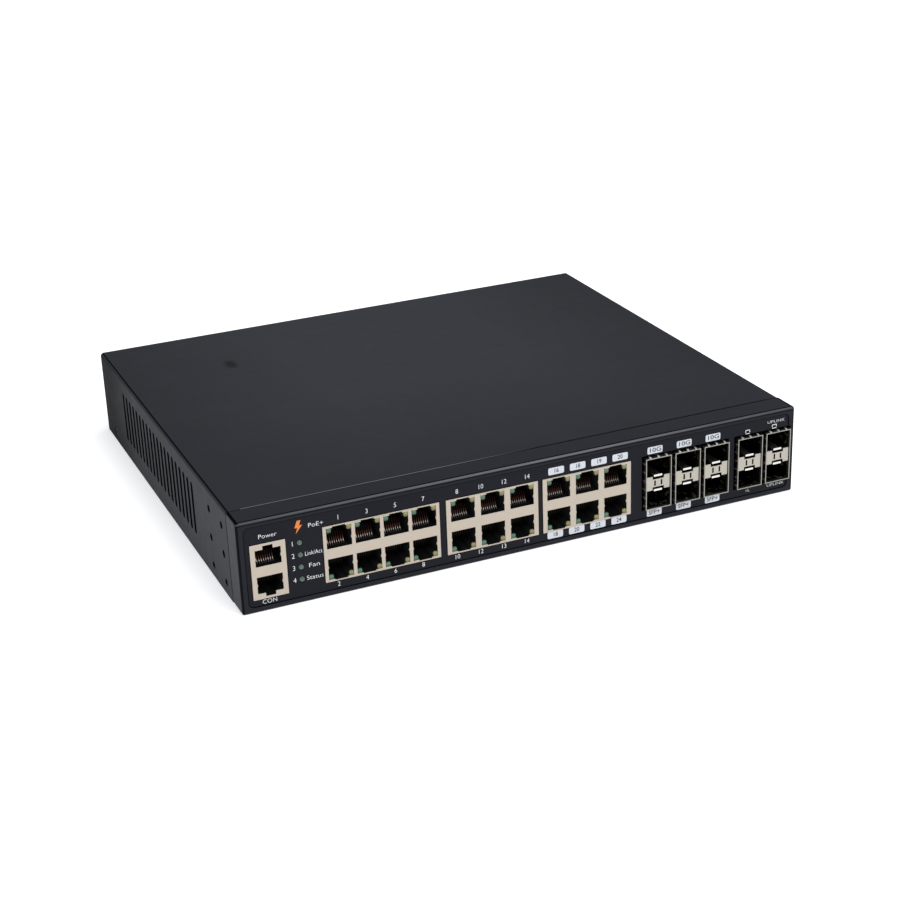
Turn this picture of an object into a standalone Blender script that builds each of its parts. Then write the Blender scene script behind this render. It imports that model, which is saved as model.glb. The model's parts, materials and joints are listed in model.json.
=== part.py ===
"""Compact rackmount network switch, one unit high, as an assembly of separate parts.

Lengths are in millimetres here and become metres when an object is made. The row frame has +Z up,
the port panel faces -Y, and the origin is at the centre of the underside of the whole object.
"""

import math

import bmesh
import bpy
from mathutils import Matrix, Vector

MM = 0.001

# Overall size. Depths are counted from the bezel's front plane, positive towards the rear.
WIDTH = 280.0
HEIGHT = 44.0
BODY_DEPTH = 240.0
CAGE_PROUD = 1.0
INLET_PROUD = 3.0
MIDDLE_DEPTH = (BODY_DEPTH + INLET_PROUD - CAGE_PROUD) / 2

SHEET = 1.0
FIT = 0.3

# Front bezel and its printed label
BEZEL_DEPTH = 14.0
BEZEL_RIM = 1.6
BEZEL_EDGE = 0.9
FRAME_WIDTH = 3.0
RECESS = 1.1
PLATE = 1.5
LABEL_FRONT = 0.4
LABEL = 0.4
LABEL_RADIUS = 2.5

# Network jacks: outer size of each stacked block, measured from the panel's left edge and the floor
JACK_OPENING = 11.7
BLOCK_FRONT = 0.1
BLOCK_DEPTH = 26.0
SHIELD = 0.4
POCKET_DEPTH = 13.5
DATA_Z = (6.8, 34.0)
CONSOLE_Z = (6.0, 32.4)
SIDE_LIP = 0.8
PITCH_A = 13.45
PITCH_BC = 14.7
BLOCKS = {
    "console": {"left": 5.4, "pitch": 14.7, "columns": 1, "z": CONSOLE_Z, "lights": False},
    "a": {"left": 38.8, "pitch": PITCH_A, "columns": 4, "z": DATA_Z, "lights": True},
    "b": {"left": 97.4, "pitch": PITCH_BC, "columns": 3, "z": DATA_Z, "lights": True},
    "c": {"left": 145.4, "pitch": PITCH_BC, "columns": 3, "z": DATA_Z, "lights": True},
}
MIDDLE_BAR = 5.0
SHIELD_RIM = 0.6
LATCH_RIM = 1.1
PLUG_HEIGHT = 7.9
LATCH_SLOT = 6.2
CONSOLE_SLOT = 7.4
KEY_SLOT = 4.6
KEY_STEP = 1.7

# Stacked optical module cages
CAGE_LEFTS = (198.5, 214.2, 229.9, 248.4, 264.0)
CAGE_WIDTH = 13.7
CAGE_Z = (7.1, 33.3)
CAGE_WALL = 0.5
CAGE_DEPTH = 48.0
CAGE_CENTRE_Z = sum(CAGE_Z) / 2
FINGER_GAP_LEFT = 1.5
FINGER_GAP_TOP = 1.3
SEPARATOR_HALF = 3.5
SEPARATOR_DEPTH = 36.0
NOTCH_WIDTH = 6.0
NOTCH_HEIGHT = 1.5
LATCH_WIDTH = 4.4
LATCH_LENGTH = 14.5
LATCH_STRIP = 0.4
LATCH_LIP = 0.7

# Status lights
LIGHT_X = 28.2
LIGHT_ZS = (11.2, 17.1, 23.0, 28.9)
LIGHT_RADIUS = 1.2

# Side walls: ventilation slots, ear screw holes and the cover screw
SLOT_COUNT = 20
SLOT_PITCH = 6.6
SLOT_WIDTH = 2.8
SLOT_Z = (10.3, 36.5)
FIRST_SLOT_FROM_REAR = 45.7
EAR_HOLE_DEPTHS = (22.5, 41.5)
EAR_HOLE_ZS = (6.2, 20.3, 34.4)
EAR_HOLE_RADIUS = 1.75
COVER_SCREW_FROM_REAR = 19.5
COVER_SCREW_Z = 5.3
COVER_BEND = 1.8
FLANGE_HEIGHT = 13.0

# Circuit board and rear wall
BOARD_Z = (4.1, 5.7)
BOARD_DEPTHS = (6.0, 150.0)
FAN_SIZE = 40.0
FAN_THICK = 20.0
FAN_XS = (182.0, 236.0)
FAN_Z = 21.9
FAN_BORE = 19.2
FAN_TIP = 18.3
FAN_HUB = 11.5
BLADES = 7
INLET_X = 36.0
REAR_Z = 21.5
SWITCH_X = 68.0
GROUND_X = 16.0
SUPPLY_BOARD_X = (6.0, 92.0)
SUPPLY_BOARD_DEPTHS = (158.0, 218.0)

for old in list(bpy.data.objects):
    bpy.data.objects.remove(old)

parts = bpy.data.collections.new("network_switch")
cutters = bpy.data.collections.new("cutters")
for collection in (parts, cutters):
    bpy.context.scene.collection.children.link(collection)

switch_frame = bpy.data.objects.new("switch_frame", None)
parts.objects.link(switch_frame)


def x_at(from_left):
    """Row X of a distance from the panel's left edge."""
    return from_left - WIDTH / 2


def y_at(depth):
    """Row Y of a depth behind the bezel's front plane."""
    return depth - MIDDLE_DEPTH


def span(low, high):
    """(centre, length) of a stretch."""
    return (low + high) / 2, high - low


# Materials


def material(name, colour, roughness, metallic=0.0):
    made = bpy.data.materials.new(name)
    made.use_nodes = True
    shader = made.node_tree.nodes["Principled BSDF"]
    shader.inputs["Base Color"].default_value = (*colour, 1.0)
    shader.inputs["Roughness"].default_value = roughness
    shader.inputs["Metallic"].default_value = metallic
    made.diffuse_color = (*colour, 1.0)
    return made


PAINT = material("charcoal_paint", (0.036, 0.038, 0.045), 0.5)
BEZEL_PAINT = material("bezel_paint", (0.03, 0.032, 0.038), 0.45)
PRINT = material("label_print", (0.012, 0.013, 0.018), 0.5)
TIN = material("tinned_shield", (0.66, 0.62, 0.55), 0.35, 0.85)
STEEL = material("zinc_steel", (0.55, 0.55, 0.53), 0.4, 0.9)
BLACK_PLASTIC = material("black_plastic", (0.01, 0.01, 0.011), 0.4)
BOARD = material("board_green", (0.01, 0.09, 0.04), 0.45)
CHIP = material("chip_epoxy", (0.015, 0.015, 0.016), 0.5)
ALUMINIUM = material("aluminium", (0.62, 0.63, 0.64), 0.4, 0.95)
LENS = material("green_lens", (0.07, 0.2, 0.15), 0.25)
COPPER_TAPE = material("winding_tape", (0.6, 0.5, 0.08), 0.5)
SLEEVE = material("capacitor_sleeve", (0.02, 0.03, 0.09), 0.35)
BRASS = material("nickel_brass", (0.72, 0.66, 0.5), 0.3, 0.9)
CABLE = material("cable_sheath", (0.4, 0.02, 0.02), 0.5)


# Shape helpers. A part goes in the parts collection, a helper shape in the cutters.


def place(name, mesh, at, finish=None):
    """An object at a point in millimetres. With no finish it is a helper that isn't drawn."""
    made = bpy.data.objects.new(name, mesh)
    made.location = Vector(at) * MM
    if finish is None:
        cutters.objects.link(made)
        made.hide_render = True
        made.display_type = "WIRE"
        return made
    parts.objects.link(made)
    made.parent = switch_frame
    mesh.materials.append(finish)
    mesh.shade_smooth()
    mesh.set_sharp_from_angle(angle=math.radians(35))
    return made


def mesh_of(name, bm):
    mesh = bpy.data.meshes.new(name)
    bm.to_mesh(mesh)
    bm.free()
    return mesh


def box(name, xs, ys, zs, finish=None, radius=0.0, along="y", steps=3):
    """A box over three stretches, with the four edges along one axis rounded."""
    (cx, lx), (cy, ly), (cz, lz) = span(*xs), span(*ys), span(*zs)
    bm = bmesh.new()
    bmesh.ops.create_cube(bm, size=1.0)
    bmesh.ops.scale(bm, vec=(lx * MM, ly * MM, lz * MM), verts=bm.verts)
    if radius:
        axis = "xyz".index(along)
        edges = [e for e in bm.edges if abs((e.verts[0].co - e.verts[1].co)[axis]) > 1e-9]
        bmesh.ops.bevel(bm, geom=edges, offset=radius * MM, segments=steps, affect="EDGES", profile=0.5)
    return place(name, mesh_of(name, bm), (cx, cy, cz), finish)


def rod(name, at, radius, length, axis="y", finish=None, sides=16, tip_radius=None):
    """A cylinder or cone centred at a point, with its tip at the high end of the axis."""
    bm = bmesh.new()
    bmesh.ops.create_cone(
        bm,
        cap_ends=True,
        segments=sides,
        radius1=radius * MM,
        radius2=(radius if tip_radius is None else tip_radius) * MM,
        depth=length * MM,
    )
    turn = {
        "x": Matrix.Rotation(math.pi / 2, 3, "Y"),
        "y": Matrix.Rotation(-math.pi / 2, 3, "X"),
        "z": Matrix.Identity(3),
    }[axis]
    bmesh.ops.rotate(bm, matrix=turn, verts=bm.verts)
    return place(name, mesh_of(name, bm), at, finish)


def prism(name, outline, thickness, plane, at, finish=None):
    """A flat outline of (u, v) points extruded about its own plane: xz, yz or xy."""
    curve = bpy.data.curves.new(name, "CURVE")
    curve.dimensions = "2D"
    curve.fill_mode = "BOTH"
    curve.extrude = thickness / 2 * MM
    line = curve.splines.new("POLY")
    line.points.add(len(outline) - 1)
    for point, (u, v) in zip(line.points, outline):
        point.co = (u * MM, v * MM, 0, 1)
    line.use_cyclic_u = True
    drawn = bpy.data.objects.new(name, curve)
    bpy.context.scene.collection.objects.link(drawn)
    graph = bpy.context.evaluated_depsgraph_get()
    mesh = bpy.data.meshes.new_from_object(drawn.evaluated_get(graph))
    bpy.data.objects.remove(drawn)
    turn = {
        "xy": Matrix.Identity(4),
        "xz": Matrix.Rotation(math.pi / 2, 4, "X"),
        "yz": Matrix(((0, 0, 1, 0), (1, 0, 0, 0), (0, 1, 0, 0), (0, 0, 0, 1))),
    }[plane]
    bm = bmesh.new()
    bm.from_mesh(mesh)
    bmesh.ops.remove_doubles(bm, verts=bm.verts, dist=1e-6)
    bmesh.ops.transform(bm, matrix=turn, verts=bm.verts)
    bmesh.ops.recalc_face_normals(bm, faces=bm.faces)
    mesh.materials.clear()
    bm.to_mesh(mesh)
    bm.free()
    mesh.name = name
    return place(name, mesh, at, finish)


def gather(name, helpers):
    """Several helper shapes that don't meet, as one helper object."""
    bm = bmesh.new()
    for helper in helpers:
        start = len(bm.verts)
        bm.from_mesh(helper.data)
        bm.verts.ensure_lookup_table()
        bmesh.ops.translate(bm, vec=helper.location, verts=bm.verts[start:])
        bpy.data.objects.remove(helper)
    return place(name, mesh_of(name, bm), (0, 0, 0))


def boolean(part, other, operation):
    step = part.modifiers.new(f"{operation.lower()}_{other.name}", "BOOLEAN")
    step.operation = operation
    step.object = other


def cut(part, *others):
    for other in others:
        boolean(part, other, "DIFFERENCE")
    return part


def join(part, *others):
    for other in others:
        boolean(part, other, "UNION")
    return part


def arc(centre, radius, start, end, steps):
    """Points on an arc, angles in degrees."""
    angles = [math.radians(start + (end - start) * i / steps) for i in range(steps + 1)]
    return [(centre[0] + radius * math.cos(a), centre[1] + radius * math.sin(a)) for a in angles]


# Openings shared by the label, the bezel and the tray's front wall


def block_span(block):
    """(left, right) of a jack block, from the panel's left edge."""
    return block["left"], block["left"] + block["pitch"] * block["columns"] + 2 * SIDE_LIP


def panel_cutter(name, depths):
    ys = (y_at(depths[0]), y_at(depths[1]))
    shapes = []
    for key, block in BLOCKS.items():
        left, right = block_span(block)
        xs = (x_at(left - FIT), x_at(right + FIT))
        zs = (block["z"][0] - FIT, block["z"][1] + FIT)
        shapes.append(box(f"{name}_{key}", xs, ys, zs))
    for number, left in enumerate(CAGE_LEFTS, 1):
        xs = (x_at(left - FINGER_GAP_LEFT), x_at(left + CAGE_WIDTH + FIT))
        zs = (CAGE_Z[0] - FIT, CAGE_Z[1] + FINGER_GAP_TOP)
        shapes.append(box(f"{name}_cage_{number}", xs, ys, zs))
    for number, z in enumerate(LIGHT_ZS, 1):
        at = (x_at(LIGHT_X), sum(ys) / 2, z)
        shapes.append(rod(f"{name}_light_{number}", at, LIGHT_RADIUS + FIT, ys[1] - ys[0], sides=12))
    return gather(name, shapes)


# Front bezel: a moulded frame 14 mm deep, with a recess for the label

half = WIDTH / 2
front_bezel = box("front_bezel", (-half, half), (y_at(0), y_at(BEZEL_DEPTH)), (0, HEIGHT), BEZEL_PAINT)
front_edges = front_bezel.data.attributes.new("bevel_weight_edge", "FLOAT", "EDGE")
for edge in front_bezel.data.edges:
    ends = [front_bezel.data.vertices[i].co for i in edge.vertices]
    along_y = abs(ends[0].y - ends[1].y) > 1e-9
    front_edges.data[edge.index].value = 1.0 if along_y or ends[0].y < 0 else 0.0
rounding = front_bezel.modifiers.new("edge_rounding", "BEVEL")
rounding.limit_method = "WEIGHT"
rounding.width = BEZEL_EDGE * MM
rounding.segments = 2

hollow = box(
    "bezel_hollow",
    (-half + BEZEL_RIM, half - BEZEL_RIM),
    (y_at(RECESS + PLATE), y_at(BEZEL_DEPTH + 5)),
    (BEZEL_RIM, HEIGHT - BEZEL_RIM),
)
label_recess = box(
    "label_recess",
    (-half + FRAME_WIDTH, half - FRAME_WIDTH),
    (y_at(-5), y_at(RECESS)),
    (FRAME_WIDTH - 0.4, HEIGHT - FRAME_WIDTH + 0.2),
    radius=LABEL_RADIUS,
)
panel_holes = panel_cutter("panel_holes", (-5, 4.5))
cut(front_bezel, hollow, label_recess, panel_holes)

label_sheet = box(
    "label_sheet",
    (-half + FRAME_WIDTH + FIT, half - FRAME_WIDTH - FIT),
    (y_at(LABEL_FRONT), y_at(LABEL_FRONT + LABEL)),
    (FRAME_WIDTH - 0.4 + FIT, HEIGHT - FRAME_WIDTH + 0.2 - FIT),
    PRINT,
    radius=LABEL_RADIUS - FIT,
)
cut(label_sheet, panel_holes)

# Base tray: bottom, front wall inside the bezel, rear wall and side flanges, from one folded sheet

wall_front = RECESS + PLATE + FIT
step_z = BEZEL_RIM + FIT
tray_half = half - SHEET - FIT
inner_half = half - BEZEL_RIM - FIT
rear_wall = (y_at(BODY_DEPTH - SHEET), y_at(BODY_DEPTH))
step_y = y_at(BEZEL_DEPTH + FIT)

base_tray = box("base_tray", (-tray_half, tray_half), (step_y, rear_wall[1]), (0, SHEET), PAINT)
folds = [
    box("tray_step", (-inner_half, inner_half), (y_at(wall_front), step_y + SHEET), (step_z, step_z + SHEET)),
    box("tray_riser", (-inner_half, inner_half), (step_y, step_y + SHEET), (0.2, step_z + SHEET - 0.1)),
    box(
        "tray_front",
        (-inner_half, inner_half),
        (y_at(wall_front), y_at(wall_front + SHEET)),
        (step_z, HEIGHT - BEZEL_RIM - FIT),
    ),
    box("tray_rear", (-tray_half, tray_half), rear_wall, (0, HEIGHT - SHEET - FIT)),
]
for side, name in ((-1, "tray_flange_left"), (1, "tray_flange_right")):
    xs = sorted((side * tray_half, side * (tray_half - SHEET)))
    folds.append(box(name, xs, (step_y, rear_wall[1]), (0, FLANGE_HEIGHT)))
join(base_tray, *folds)


def standoff_places():
    """Pillars under the two circuit boards, as (x, depth)."""
    board = [(x, depth) for x in (12.0, 140.0, 268.0) for depth in (60.0, 142.0)]
    supply = [(x, depth) for x in SUPPLY_BOARD_X for depth in SUPPLY_BOARD_DEPTHS]
    inset = 5.0
    middle_x, middle_d = sum(SUPPLY_BOARD_X) / 2, sum(SUPPLY_BOARD_DEPTHS) / 2
    pulled = [
        (x + math.copysign(inset, middle_x - x), d + math.copysign(inset, middle_d - d)) for x, d in supply
    ]
    return board + pulled


pillar_top = BOARD_Z[0] - FIT
pillars = [
    rod(f"pillar_{n}", (x_at(x), y_at(d), pillar_top / 2 + 0.25), 2.5, pillar_top - 0.5, "z", sides=8)
    for n, (x, d) in enumerate(standoff_places(), 1)
]
join(base_tray, gather("pillars", pillars))
cut(base_tray, panel_holes)

# Openings in the rear wall: fan grilles, inlet, power switch and earth screw

INLET_BODY = (27.2, 20.0)
SWITCH_BODY = (12.6, 17.6)


def grille_arcs():
    """Ring segments of the two punched fan grilles."""
    found = []
    for fan, x in enumerate(FAN_XS):
        for inner, outer, gap in ((5.0, 7.4, 14), (9.4, 11.8, 9), (13.8, 16.2, 6.5)):
            for quarter in range(4):
                start, end = quarter * 90 + gap + 45, quarter * 90 + 90 - gap + 45
                outline = arc((0, 0), outer, start, end, 6) + arc((0, 0), inner, end, start, 6)
                at = (x_at(x), y_at(BODY_DEPTH - SHEET / 2), FAN_Z)
                found.append(prism(f"grille_{fan}_{inner:.0f}_{quarter}", outline, 4 * SHEET, "xz", at))
    return found


def wall_window(name, x, size):
    xs = (x_at(x) - size[0] / 2 - FIT, x_at(x) + size[0] / 2 + FIT)
    zs = (REAR_Z - size[1] / 2 - FIT, REAR_Z + size[1] / 2 + FIT)
    return box(name, xs, (y_at(BODY_DEPTH - 3), y_at(BODY_DEPTH + 2)), zs)


rear_holes = grille_arcs() + [
    wall_window("inlet_window", INLET_X, INLET_BODY),
    wall_window("switch_window", SWITCH_X, SWITCH_BODY),
    rod("earth_hole", (x_at(GROUND_X), y_at(BODY_DEPTH), REAR_Z), 1.8, 8, sides=12),
]
cut(base_tray, gather("rear_holes", rear_holes))

# Top cover: top and both sides from one sheet, slotted and drilled on both sides

cover_depths = (BEZEL_DEPTH + FIT, BODY_DEPTH)
centre_y, cover_length = span(y_at(cover_depths[0]), y_at(cover_depths[1]))
bm = bmesh.new()
bmesh.ops.create_cube(bm, size=1.0)
bmesh.ops.scale(bm, vec=(WIDTH * MM, cover_length * MM, HEIGHT * MM), verts=bm.verts)
open_faces = [f for f in bm.faces if abs(f.normal.y) > 0.5 or f.normal.z < -0.5]
bmesh.ops.delete(bm, geom=open_faces, context="FACES_ONLY")
top_edges = [e for e in bm.edges if all(v.co.z > 0 for v in e.verts) and len(e.link_faces) == 2]
bmesh.ops.bevel(bm, geom=top_edges, offset=COVER_BEND * MM, segments=4, affect="EDGES", profile=0.5)
loose = [e for e in bm.edges if not e.link_faces]
bmesh.ops.delete(bm, geom=loose, context="EDGES")
top_cover = place("top_cover", mesh_of("top_cover", bm), (0, centre_y, HEIGHT / 2), PAINT)
skin = top_cover.modifiers.new("sheet_thickness", "SOLIDIFY")
skin.thickness = SHEET * MM
skin.offset = -1.0
skin.use_even_offset = True

side_reach = (-half - 5, half + 5)
side_holes = []
for number in range(SLOT_COUNT):
    middle = y_at(BODY_DEPTH - FIRST_SLOT_FROM_REAR - number * SLOT_PITCH)
    ys = (middle - SLOT_WIDTH / 2, middle + SLOT_WIDTH / 2)
    radius = SLOT_WIDTH / 2 - 0.05
    side_holes.append(box(f"slot_{number}", side_reach, ys, SLOT_Z, radius=radius, along="x", steps=3))
for depth in EAR_HOLE_DEPTHS:
    for z in EAR_HOLE_ZS:
        at = (0, y_at(depth), z)
        side_holes.append(rod(f"ear_hole_{depth}_{z}", at, EAR_HOLE_RADIUS, WIDTH + 10, "x", sides=12))
screw_y = y_at(BODY_DEPTH - COVER_SCREW_FROM_REAR)
side_holes.append(rod("cover_hole", (0, screw_y, COVER_SCREW_Z), 2.9, WIDTH + 10, "x", sides=16))
cut(top_cover, gather("side_holes", side_holes))

# The tray's flanges carry threaded holes behind the cover screws and the two lowest ear holes
flange_holes = [rod("flange_screw", (0, screw_y, COVER_SCREW_Z), 1.8, WIDTH + 10, "x", sides=12)]
for depth in EAR_HOLE_DEPTHS:
    at = (0, y_at(depth), EAR_HOLE_ZS[0])
    flange_holes.append(rod(f"flange_ear_{depth}", at, 1.6, WIDTH + 10, "x", sides=12))
cut(base_tray, gather("flange_holes", flange_holes))


def cover_screw(name, side):
    """Flush screw: a flat head in the cover's hole and a shank through the flange."""
    outer = side * (half - 0.2)
    head = rod(name, (outer - side * 0.5, screw_y, COVER_SCREW_Z), 2.6, 1.0, "x", STEEL, sides=16)
    xs = outer - side * 3.9
    shank = rod(f"{name}_shank", (xs, screw_y, COVER_SCREW_Z), 1.45, 6.4, "x", sides=10)
    return join(head, shank)


cover_screw("cover_screw_left", -1)
cover_screw("cover_screw_right", 1)

# Main circuit board, notched round nothing: a plain plate under every connector

board_x = (6.0, 274.0)
box(
    "main_board",
    (x_at(board_x[0]), x_at(board_x[1])),
    (y_at(BOARD_DEPTHS[0]), y_at(BOARD_DEPTHS[1])),
    BOARD_Z,
    BOARD,
)

# Stacked jack blocks: a tinned shield round a black insert with one pocket for each plug


def jack_rows(block):
    """For the lower and upper row: (plug stretch in z, latch stretch in z)."""
    low, high = block["z"]
    middle = (low + high) / 2
    lower_plug = (middle - MIDDLE_BAR / 2 - PLUG_HEIGHT, middle - MIDDLE_BAR / 2)
    upper_plug = (middle + MIDDLE_BAR / 2, middle + MIDDLE_BAR / 2 + PLUG_HEIGHT)
    return (lower_plug, (low + LATCH_RIM, lower_plug[0])), (upper_plug, (upper_plug[1], high - LATCH_RIM))


def column_centres(block):
    first = block["left"] + SIDE_LIP + block["pitch"] / 2
    return [x_at(first + block["pitch"] * n) for n in range(block["columns"])]


def port_shape(tag, x, ys, plug, latch, keyed):
    """Helpers over one depth: a plug's section, and one or two latch slots that step in from it."""
    way = 1 if latch[0] >= plug[1] else -1
    root, tip = latch if way > 0 else latch[::-1]
    steps = [(LATCH_SLOT, root, tip)]
    if keyed:
        steps = [(CONSOLE_SLOT, root, tip - way * KEY_STEP), (KEY_SLOT, root, tip)]
    shapes = [box(f"plug_{tag}", (x - JACK_OPENING / 2, x + JACK_OPENING / 2), ys, plug)]
    for number, (width, near, far) in enumerate(steps):
        zs = sorted((near - way * 0.5, far))
        shapes.append(box(f"latch_slot_{tag}_{number}", (x - width / 2, x + width / 2), ys, zs))
    return shapes


def jack_block(key, block):
    left, right = (x_at(v) for v in block_span(block))
    low, high = block["z"]
    front, rear = y_at(BLOCK_FRONT), y_at(BLOCK_FRONT + BLOCK_DEPTH)
    shield = box(f"jack_shield_{key}", (left, right), (front, rear), (low, high), TIN)
    room = box(
        f"shield_room_{key}",
        (left + SHIELD, right - SHIELD),
        (front + SHIELD, rear - SHIELD),
        (low - 5, high - SHIELD),
    )
    gap = SHIELD + 0.2
    insert = box(
        f"jack_insert_{key}",
        (left + gap, right - gap),
        (front + gap, rear - gap),
        (low + 0.1, high - gap),
        BLACK_PLASTIC,
    )
    pocket_ys = (front - 2, front + gap + POCKET_DEPTH)
    window_ys = (front - 2, front + SHIELD + 0.1)
    windows, pockets = [], []
    for row, (plug, latch) in enumerate(jack_rows(block)):
        for column, x in enumerate(column_centres(block)):
            tag = f"{key}_{row}_{column}"
            xs = (x - JACK_OPENING / 2, x + JACK_OPENING / 2)
            zs = (plug[0], high - SHIELD_RIM) if row else (low + SHIELD_RIM, plug[1])
            pockets.append(port_shape(tag, x, pocket_ys, plug, latch, not block["lights"]))
            if block["lights"]:
                windows.append([box(f"window_{tag}", xs, window_ys, zs)])
            else:
                windows.append(port_shape(f"window_{tag}", x, window_ys, plug, latch, True))
    # Shapes that overlap can't share a cutter, so each step of the ports' outline is cut in turn
    cut(shield, room, *(gather(f"windows_{key}", list(step)) for step in zip(*windows)))
    cut(insert, *(gather(f"pockets_{key}", list(step)) for step in zip(*pockets)))


for block_key, block_sizes in BLOCKS.items():
    jack_block(block_key, block_sizes)

# Optical module cages, each with a separator, two spring latches and an edge connector


def module_cage(number, left):
    xs = (x_at(left), x_at(left + CAGE_WIDTH))
    front, rear = y_at(-CAGE_PROUD), y_at(-CAGE_PROUD + CAGE_DEPTH)
    cage = box(f"sfp_cage_{number}", xs, (front, rear), CAGE_Z, STEEL)
    room = box(
        f"cage_room_{number}",
        (xs[0] + CAGE_WALL, xs[1] - CAGE_WALL),
        (front - 5, rear - CAGE_WALL),
        (CAGE_Z[0] + CAGE_WALL, CAGE_Z[1] - CAGE_WALL),
    )
    cut(cage, room)
    middle = sum(xs) / 2
    inner = CAGE_WIDTH / 2 - CAGE_WALL - 0.2
    block_front = front + 0.5
    separator = box(
        f"sfp_separator_{number}",
        (middle - inner, middle + inner),
        (block_front, block_front + SEPARATOR_DEPTH),
        (CAGE_CENTRE_Z - SEPARATOR_HALF, CAGE_CENTRE_Z + SEPARATOR_HALF),
        TIN,
    )
    notches = []
    for sign, row in ((1, "upper"), (-1, "lower")):
        face = CAGE_CENTRE_Z + sign * SEPARATOR_HALF
        floor = face - sign * NOTCH_HEIGHT
        notches.append(
            box(
                f"notch_{number}_{row}",
                (middle - NOTCH_WIDTH / 2, middle + NOTCH_WIDTH / 2),
                (block_front - 2, block_front + LATCH_LENGTH + 2 * FIT),
                sorted((floor, face + sign * 2)),
            )
        )
        module_latch(f"sfp_latch_{number}_{row}", middle, block_front + FIT, face, sign)
    cut(separator, gather(f"notches_{number}", notches))
    connector_depth = 9.0
    box(
        f"sfp_connector_{number}",
        (middle - inner, middle + inner),
        (rear - CAGE_WALL - FIT - connector_depth, rear - CAGE_WALL - FIT),
        (CAGE_Z[0] + CAGE_WALL + FIT, CAGE_Z[1] - CAGE_WALL - FIT - 2),
        BLACK_PLASTIC,
    )


def module_latch(name, middle, front, face, sign):
    """A spring strip in the separator's notch. Its origin is on the root, where it flexes."""
    strip_z = 0.1
    outline = [
        (0, strip_z),
        (-LATCH_LENGTH + LATCH_STRIP, strip_z),
        (-LATCH_LENGTH + LATCH_STRIP, LATCH_LIP),
        (-LATCH_LENGTH, LATCH_LIP),
        (-LATCH_LENGTH, strip_z - LATCH_STRIP),
        (0, strip_z - LATCH_STRIP),
    ]
    shape = [(u, sign * v) for u, v in outline]
    return prism(name, shape, LATCH_WIDTH, "yz", (middle, front + LATCH_LENGTH, face), STEEL)


for cage_number, cage_left in enumerate(CAGE_LEFTS, 1):
    module_cage(cage_number, cage_left)

# Status light pipe: four rods with domed ends on one moulded bar

bar_depths = (wall_front + SHEET + FIT, wall_front + SHEET + FIT + 4)
light_pipe = box(
    "status_light_pipe",
    (x_at(LIGHT_X) - 1.5, x_at(LIGHT_X) + 1.5),
    (y_at(bar_depths[0]), y_at(bar_depths[1])),
    (LIGHT_ZS[0] - 2, LIGHT_ZS[-1] + 2),
    LENS,
)
pipe_front = 0.4
pipe_rods = []
for pipe_number, light_z in enumerate(LIGHT_ZS, 1):
    rod_centre, rod_length = span(pipe_front, bar_depths[0] + 1)
    at = (x_at(LIGHT_X), y_at(rod_centre), light_z)
    pipe_rods.append(rod(f"pipe_rod_{pipe_number}", at, LIGHT_RADIUS, rod_length, sides=12))
join(light_pipe, gather("pipe_rods", pipe_rods))
domes = []
for pipe_number, light_z in enumerate(LIGHT_ZS, 1):
    bm = bmesh.new()
    bmesh.ops.create_uvsphere(bm, u_segments=12, v_segments=6, radius=LIGHT_RADIUS * 0.98 * MM)
    bmesh.ops.scale(bm, vec=(1, 0.6, 1), verts=bm.verts)
    at = (x_at(LIGHT_X), y_at(pipe_front + 0.05), light_z)
    domes.append(place(f"dome_{pipe_number}", mesh_of("dome", bm), at))
join(light_pipe, gather("pipe_domes", domes))

# Electronics on the boards


def on_board(name, x, depth, size, finish, bottom=BOARD_Z[1] + FIT):
    """A component centred at (x, depth) with (width, depth, height), standing on a board."""
    xs = (x_at(x) - size[0] / 2, x_at(x) + size[0] / 2)
    ys = (y_at(depth) - size[1] / 2, y_at(depth) + size[1] / 2)
    return box(name, xs, ys, (bottom, bottom + size[2]), finish)


def finned(name, x, depth, width, length, height, fins, bottom, finish):
    """An extruded heatsink: one comb outline in xz, as long as the sink."""
    base, fin = 3.0, 1.2
    pitch = (width - fin) / (fins - 1)
    points = [(-width / 2, 0), (width / 2, 0)]
    for n in range(fins):
        right = width / 2 - n * pitch
        points += [(right, height), (right - fin, height)]
        if n < fins - 1:
            points += [(right - fin, base), (right - pitch, base)]
    return prism(name, points, length, "xz", (x_at(x), y_at(depth), bottom), finish)


chip_top = BOARD_Z[1] + FIT + 2.4
on_board("switch_chip", 128, 84, (31, 31, 2.4), CHIP)
finned("chip_heatsink", 128, 84, 45.2, 45, 18, 10, chip_top + FIT, ALUMINIUM)
finned("poe_heatsink", 52, 92, 60.2, 24, 14, 9, BOARD_Z[1] + FIT, ALUMINIUM)

supply_x = sum(SUPPLY_BOARD_X) / 2
box(
    "power_board",
    [x_at(v) for v in SUPPLY_BOARD_X],
    [y_at(v) for v in SUPPLY_BOARD_DEPTHS],
    BOARD_Z,
    BOARD,
)
on_board("power_transformer", 48, 188, (26, 24, 22), COPPER_TAPE)
finned("power_heatsink", 80, 188, 14.2, 48, 26, 3, BOARD_Z[1] + FIT, ALUMINIUM)
capacitor_at = (x_at(20), y_at(182), BOARD_Z[1] + FIT + 9.1)
rod("bulk_capacitor", capacitor_at, 9.0, 30, "y", SLEEVE, sides=20)

# Cable from the supply board to the main board: one bundle of wires along a fixed route


def smooth_route(points, steps):
    """Points on a smooth curve through a route's own points."""
    ends = [points[0] * 2 - points[1], *points, points[-1] * 2 - points[-2]]
    found = []
    for p0, p1, p2, p3 in zip(ends, ends[1:], ends[2:], ends[3:]):
        for i in range(steps):
            t = i / steps
            found.append(
                0.5 * (2 * p1 + (p2 - p0) * t + (2 * p0 - 5 * p1 + 4 * p2 - p3) * t**2
                       + (3 * p1 - p0 - 3 * p2 + p3) * t**3)
            )
    return [*found, points[-1]]


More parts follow.
